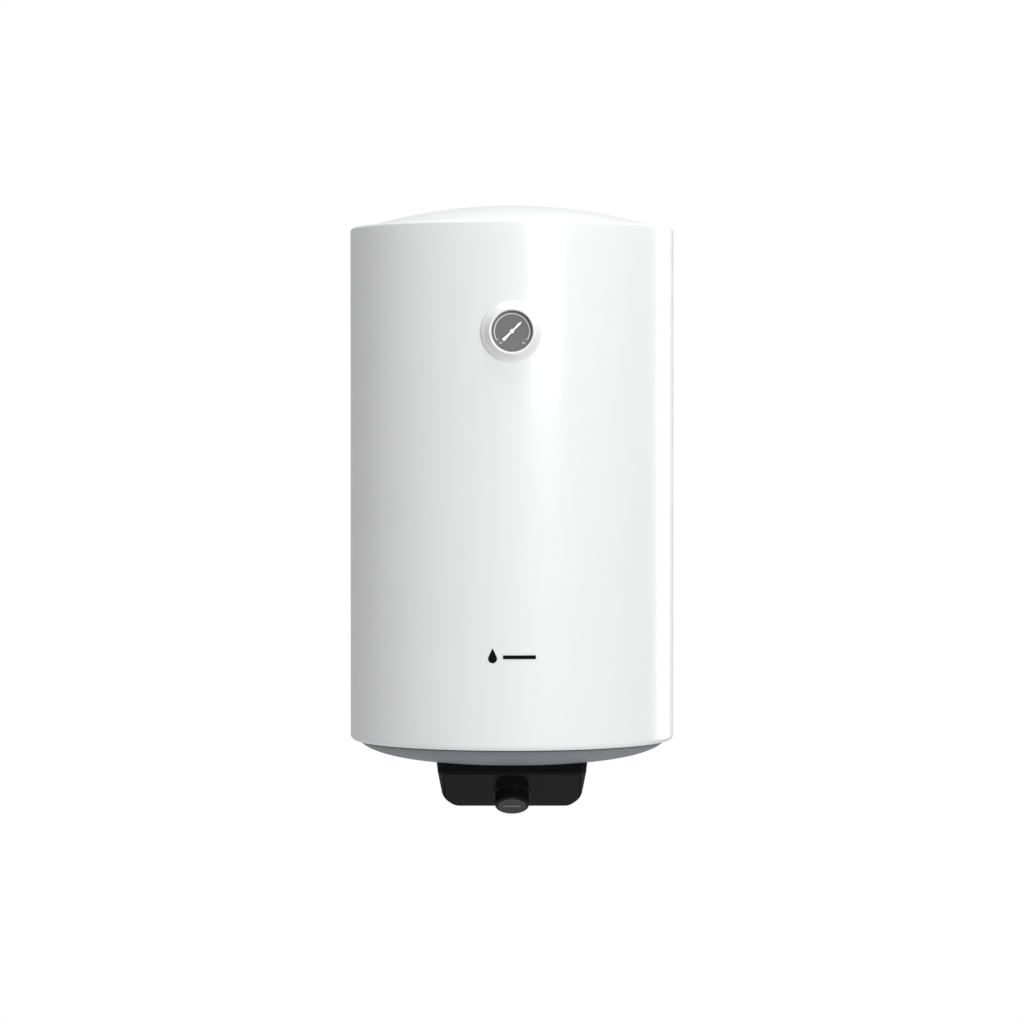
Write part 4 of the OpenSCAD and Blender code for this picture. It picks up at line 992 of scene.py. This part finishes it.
# Points round a rectangle, the same number on each side; corners on the far side are rounded.
def rectangleLoop(x0, x1, v0, v1, corner=0.0):
    s = np.linspace(0, 1, bracket["steps"] + 1)[:-1]
    corners = np.array([(x1, v0), (x1, v1), (x0, v1), (x0, v0)], float)
    sides = np.roll(corners, -1, 0) - corners
    loop = (corners[:, None] + sides[:, None] * s[None, :, None]).reshape(-1, 2)
    if corner:
        inward = np.clip(loop[:, 1], v0 + corner, v1 - corner)
        middle = np.stack([np.full(len(loop), x1 - corner), inward], -1)
        off = loop - middle
        inCorner = (loop[:, 0] > x1 - corner) & (np.abs(off[:, 1]) > 0)
        length = np.maximum(np.linalg.norm(off, axis=1), 1e-9)
        scale = np.max(np.abs(off), axis=1) / length
        loop = np.where(inCorner[:, None], middle + off * scale[:, None], loop)
    return loop


# Flat plate with a slot: rows run from the slot's rim to the outline. A rim point lies a radius away
# from the nearest point of the slot's middle line, towards its outline point.
def plateWithSlot(outline, centre, length, radius, across):
    along = np.clip(outline[:, 0] - centre, -length / 2, length / 2) + centre
    core = np.stack([along, np.zeros(len(outline))], -1)
    off = outline - core
    rim = core + off / np.linalg.norm(off, axis=1)[:, None] * radius
    t = np.array([0.0, 0.06, 0.2, 0.45, 0.75, 1.0])[:, None, None]
    flat = rim + (outline - rim) * t
    grid = np.stack([flat[..., 0], np.full(flat.shape[:2], across), flat[..., 1]], -1)
    return grid.reshape(-1, 3), gridFaces(len(t), len(outline))


# Hat-shaped strip. Its middle surface is laid down first: a web round the bolt holes, a bend,
# a short leg, a bend and an ear round its slot, then the same mirrored. Thickness comes last.
def makeBracket(name, source):
    low, high = boxOf(source)
    half, bend, sheet, leg = bracket["height"] / 2, bracket["bend"], bracket["sheet"], bracket["web"]
    wall, web = float(high[1]) - axisY - sheet / 2, jacketRadius + hardware["webStand"] + sheet / 2
    slotAt, slotLong, slotWide = bracket["slot"]
    webLoop = rectangleLoop(0, leg - bend, -half, half)
    earLoop = rectangleLoop(leg + bend, float(high[0]), -half, half, bracket["corner"])
    parts = [plateWithSlot(webLoop, hardware["boltSpread"], 0.0, bracket["hole"], web),
             plateWithSlot(earLoop, slotAt, slotLong - slotWide, slotWide / 2, wall)]
    path = np.concatenate([arcPoints(leg - bend, web + bend, bend, -90, 0, 8),
                           arcPoints(leg + bend, wall - bend, bend, 180, 90, 8)])
    v = np.linspace(-half, half, bracket["steps"] + 1)
    strip = np.stack([roundRing(path[:, 0], len(v)), roundRing(path[:, 1], len(v)),
                      np.broadcast_to(v, (len(path), len(v)))], -1)
    parts.append((strip.reshape(-1, 3), gridFaces(len(path), len(v), False, False)))
    parts += [(points * [-1, 1, 1], faces) for points, faces in parts]
    place = Place((axisX, axisY, (low[2] + high[2]) / 2), (0, 0, 1))
    piece = joined(name, [(place.put(points), faces) for points, faces in parts], 40)
    return thicken(piece, sheet, 0, 0.5, evenOffset=True)


gland = {"drop": -62.0, "thread": 8.0, "threadDepth": 0.7, "pitch": 1.5, "inside": 10.0, "hexCorner": 22.0,
         "hexHigh": 5.0, "reach": 20.0, "bore": 4.2, "flutes": 18, "fluteDepth": 0.42, "lip": 2.0}


# Gland: thread, hexagon flange with its corners cut, and a fluted cap that narrows to a rounded lip.
def makeGland():
    place = Place((axisX, axisY + cover["back"], bottomZ + gland["drop"]), (0, 1, 0))
    segments, start, hexHigh = 144, -gland["inside"], gland["hexHigh"]
    reach, bore, lip = gland["reach"], gland["bore"], gland["lip"]
    zThread = np.linspace(start, -0.4, 52)
    thread = gland["thread"] - gland["threadDepth"] * threadWave(zThread, start, gland["pitch"], segments)
    zHex = np.concatenate([np.linspace(0, 1.0, 6), np.linspace(hexHigh - 1.0, hexHigh, 6)])
    flange = hexRows(zHex, hexHigh, gland["hexCorner"] * math.cos(math.pi / 6), 1.73, segments)
    zCap = np.linspace(hexHigh, reach - lip, 22)
    part = (zCap - zCap[0]) / (zCap[-1] - zCap[0])
    groove = gland["fluteDepth"] * np.clip(np.minimum(part * 8 - 0.6, (1 - part) * 6), 0, 1)[:, None]
    flutes = np.maximum(0, np.cos(gland["flutes"] * roundAngles(segments)))[None] ** 2
    cap = (9.7 - 1.3 * part)[:, None] - groove * flutes
    mouth = [(6.0, reach), (5.4, reach - 0.6), (bore + 0.3, reach - 0.9), (bore, reach - 1.4),
             (bore, start + 0.6), (bore + 0.6, start)]
    rest = np.concatenate([arcPoints(6.4, reach - lip, lip, 0, 90, 8), mouth])
    radius = np.concatenate([thread, flange, cap, roundRing(rest[:, 0], segments)])
    height = np.concatenate([zThread, zHex, zCap, rest[:, 1]])
    return joined("cordGland", [ringParts(radius, height, place, segments)], 35)


screw = {"head": 3.85, "proud": 1.2, "arm": 0.55, "armLong": 2.3, "recess": 0.75, "dome": 0.45}


# Screw: a domed head, lowered inside a cross of two bars, above a thin shank.
def makeCoverScrews():
    segments, parts = 96, []
    angle = roundAngles(segments)
    r = np.linspace(0, screw["head"], 30)[:, None]
    arm = np.minimum(np.abs(r * np.cos(angle)), np.abs(r * np.sin(angle)))
    depth = np.clip((screw["arm"] - arm) / 0.15, 0, 1) * np.clip((screw["armLong"] - r) / 0.2, 0, 1)
    height = 0.98 - screw["dome"] * (r / screw["head"]) ** 5 - screw["recess"] * depth
    shank = np.array([(3.9, 0.35), (3.9, 0.05), (1.6, 0.05), (1.6, -14.0), (0.9, -17.0), (0.0, -17.0)])
    radius = np.concatenate([roundRing(r[:, 0], segments), roundRing(shank[:, 0], segments)])
    levels = np.concatenate([height, roundRing(shank[:, 1], segments)])
    x, y = casing["screwAt"]
    for side in (-1, 1):
        place = Place((side * x, axisY + y, bottomZ + cover["floor"] + screw["proud"]), (0, 0, -1))
        parts.append(ringParts(radius, levels, place, segments))
    return joined("coverScrews", parts, 30)


# Plug in the foam-filling hole: a rounded button whose upper side follows the dome.
def makeFoamPlug():
    low, high = boxOf("foam_plug")
    place = Place(((low[0] + high[0]) / 2, (low[1] + high[1]) / 2, low[2]), (0, 0, 1))
    middle, rim, tall = 1.1, 11.45, 30.0
    edge = softened([(0.02, middle), (5.6, middle), (6.6, 0.02), (9.6, 0.02), (rim, 2.0), (rim, tall)],
                    1.0, 6)[6:-6]
    profile = np.concatenate([[(0.0, middle)], edge, [(rim, tall), (0.0, tall)]])
    return turnedUnderDome("foamPlug", profile, place)


for name in ("upper", "lower"):
    dress(makeBracket(name + "Bracket", name + "_bracket"), "heater", "galvanised", name + "_bracket")
dress(makeNuts(), "heater", "zinc_steel", "bracket_nuts")
dress(makeStuds(), "heater", "zinc_steel", "bracket_bolts")
dress(makeSpacers(), "heater", "black_rubber", "bracket_spacers")
dress(makeGland(), "heater", "black_plastic", "cable_gland")
dress(makeCoverScrews(), "heater", "zinc_steel", "cover_screws")
dress(makeFoamPlug(), "heater", "grey_plastic", "foam_plug")
print("hardware made")


# Places and sizes in metres; the camera stands that far in front of the tank's axis.
stage = {"floorDrop": -1.75, "floorRadius": 2.2, "background": 1.0, "worldLight": 0.455,
         "lens": 134.3, "cameraBack": 5.33, "cameraUp": 0.3965, "cameraTilt": 0.855}
# Each lamp's place, the point it is turned to, its size and its power.
lamps = {"keyLamp": ((1.6, -4.1, 1.2), (0, -0.24, -0.2), (1.7, 2.6), 94.5),
         "overLamp": ((0.3, -0.5, 2.3), (0, -0.24, 0.2), (2.0, 2.0), 45.0),
         "rimLamp": ((2.5, 2.2, 0.0), (0, -0.24, -0.2), (1.3, 2.6), 36.0),
         "lowLamp": ((0.3, -2.6, -1.45), (0, -0.2, -0.6), (1.6, 1.0), 3.4)}


# From below, where the underside of the heater is looked at, the floor is clear.
def showFromAbove(material):
    tree = Tree(material.node_tree)
    output = next(n for n in material.node_tree.nodes if n.type == "OUTPUT_MATERIAL")
    seen = output.inputs["Surface"].links[0].from_socket
    below = tree.add("ShaderNodeNewGeometry").outputs["Backfacing"]
    clear = tree.add("ShaderNodeBsdfTransparent").outputs[0]
    tree.feed(output.inputs["Surface"], tree.blendShader(below, seen, clear))


def makeFloor():
    angle, radius = roundAngles(96), stage["floorRadius"] / mm
    ring = np.stack([np.cos(angle) * radius, axisY + np.sin(angle) * radius,
                     np.full(96, stage["floorDrop"] / mm)], -1)
    floor = pieceFrom("floor", ring, [list(range(96))], recalculate=False)
    surface = newMaterial("paleFloor", (0.8, 0.8, 0.8), (0.7, 0.8), 60.0, 0.1)
    showFromAbove(surface)
    floor.data.materials.append(surface)


def addLamp(name, spot, aim, size, power):
    data = bpy.data.lights.new(name, "AREA")
    data.shape, data.size, data.size_y = "RECTANGLE", size[0], size[1]
    data.energy = power
    lamp = linked(name, data)
    lamp.location = spot
    direction = np.array(aim, float) - np.array(spot, float)
    lamp.rotation_euler = Vector(direction).to_track_quat("-Z", "Y").to_euler()


# The camera sees a white background, while the heater is lit by a dimmer one.
def makeWorld():
    world = bpy.data.worlds.new("studio")
    bpy.context.scene.world = world
    world.use_nodes = True
    world.node_tree.nodes.clear()
    tree = Tree(world.node_tree)
    seen, lighting = [tree.add("ShaderNodeBackground", {0: (1, 1, 1), 1: stage[key]}).outputs[0]
                      for key in ("background", "worldLight")]
    toCamera = tree.add("ShaderNodeLightPath").outputs["Is Camera Ray"]
    tree.add("ShaderNodeOutputWorld", {"Surface": tree.blendShader(toCamera, lighting, seen)})


def makeCamera():
    data = bpy.data.cameras.new("camera")
    data.sensor_width, data.lens, data.clip_end = 36.0, stage["lens"], 50
    camera = linked("camera", data)
    camera.location = (0.0, axisY * mm - stage["cameraBack"], bottomZ * mm + stage["cameraUp"])
    camera.rotation_euler = (math.radians(90 - stage["cameraTilt"]), 0, 0)
    bpy.context.scene.camera = camera


makeFloor()
makeWorld()
for name, lamp in lamps.items():
    addLamp(name, *lamp)
bpy.context.scene.view_settings.view_transform = "Standard"
bpy.context.scene.view_settings.look = "None"
makeCamera()
print("stage made")
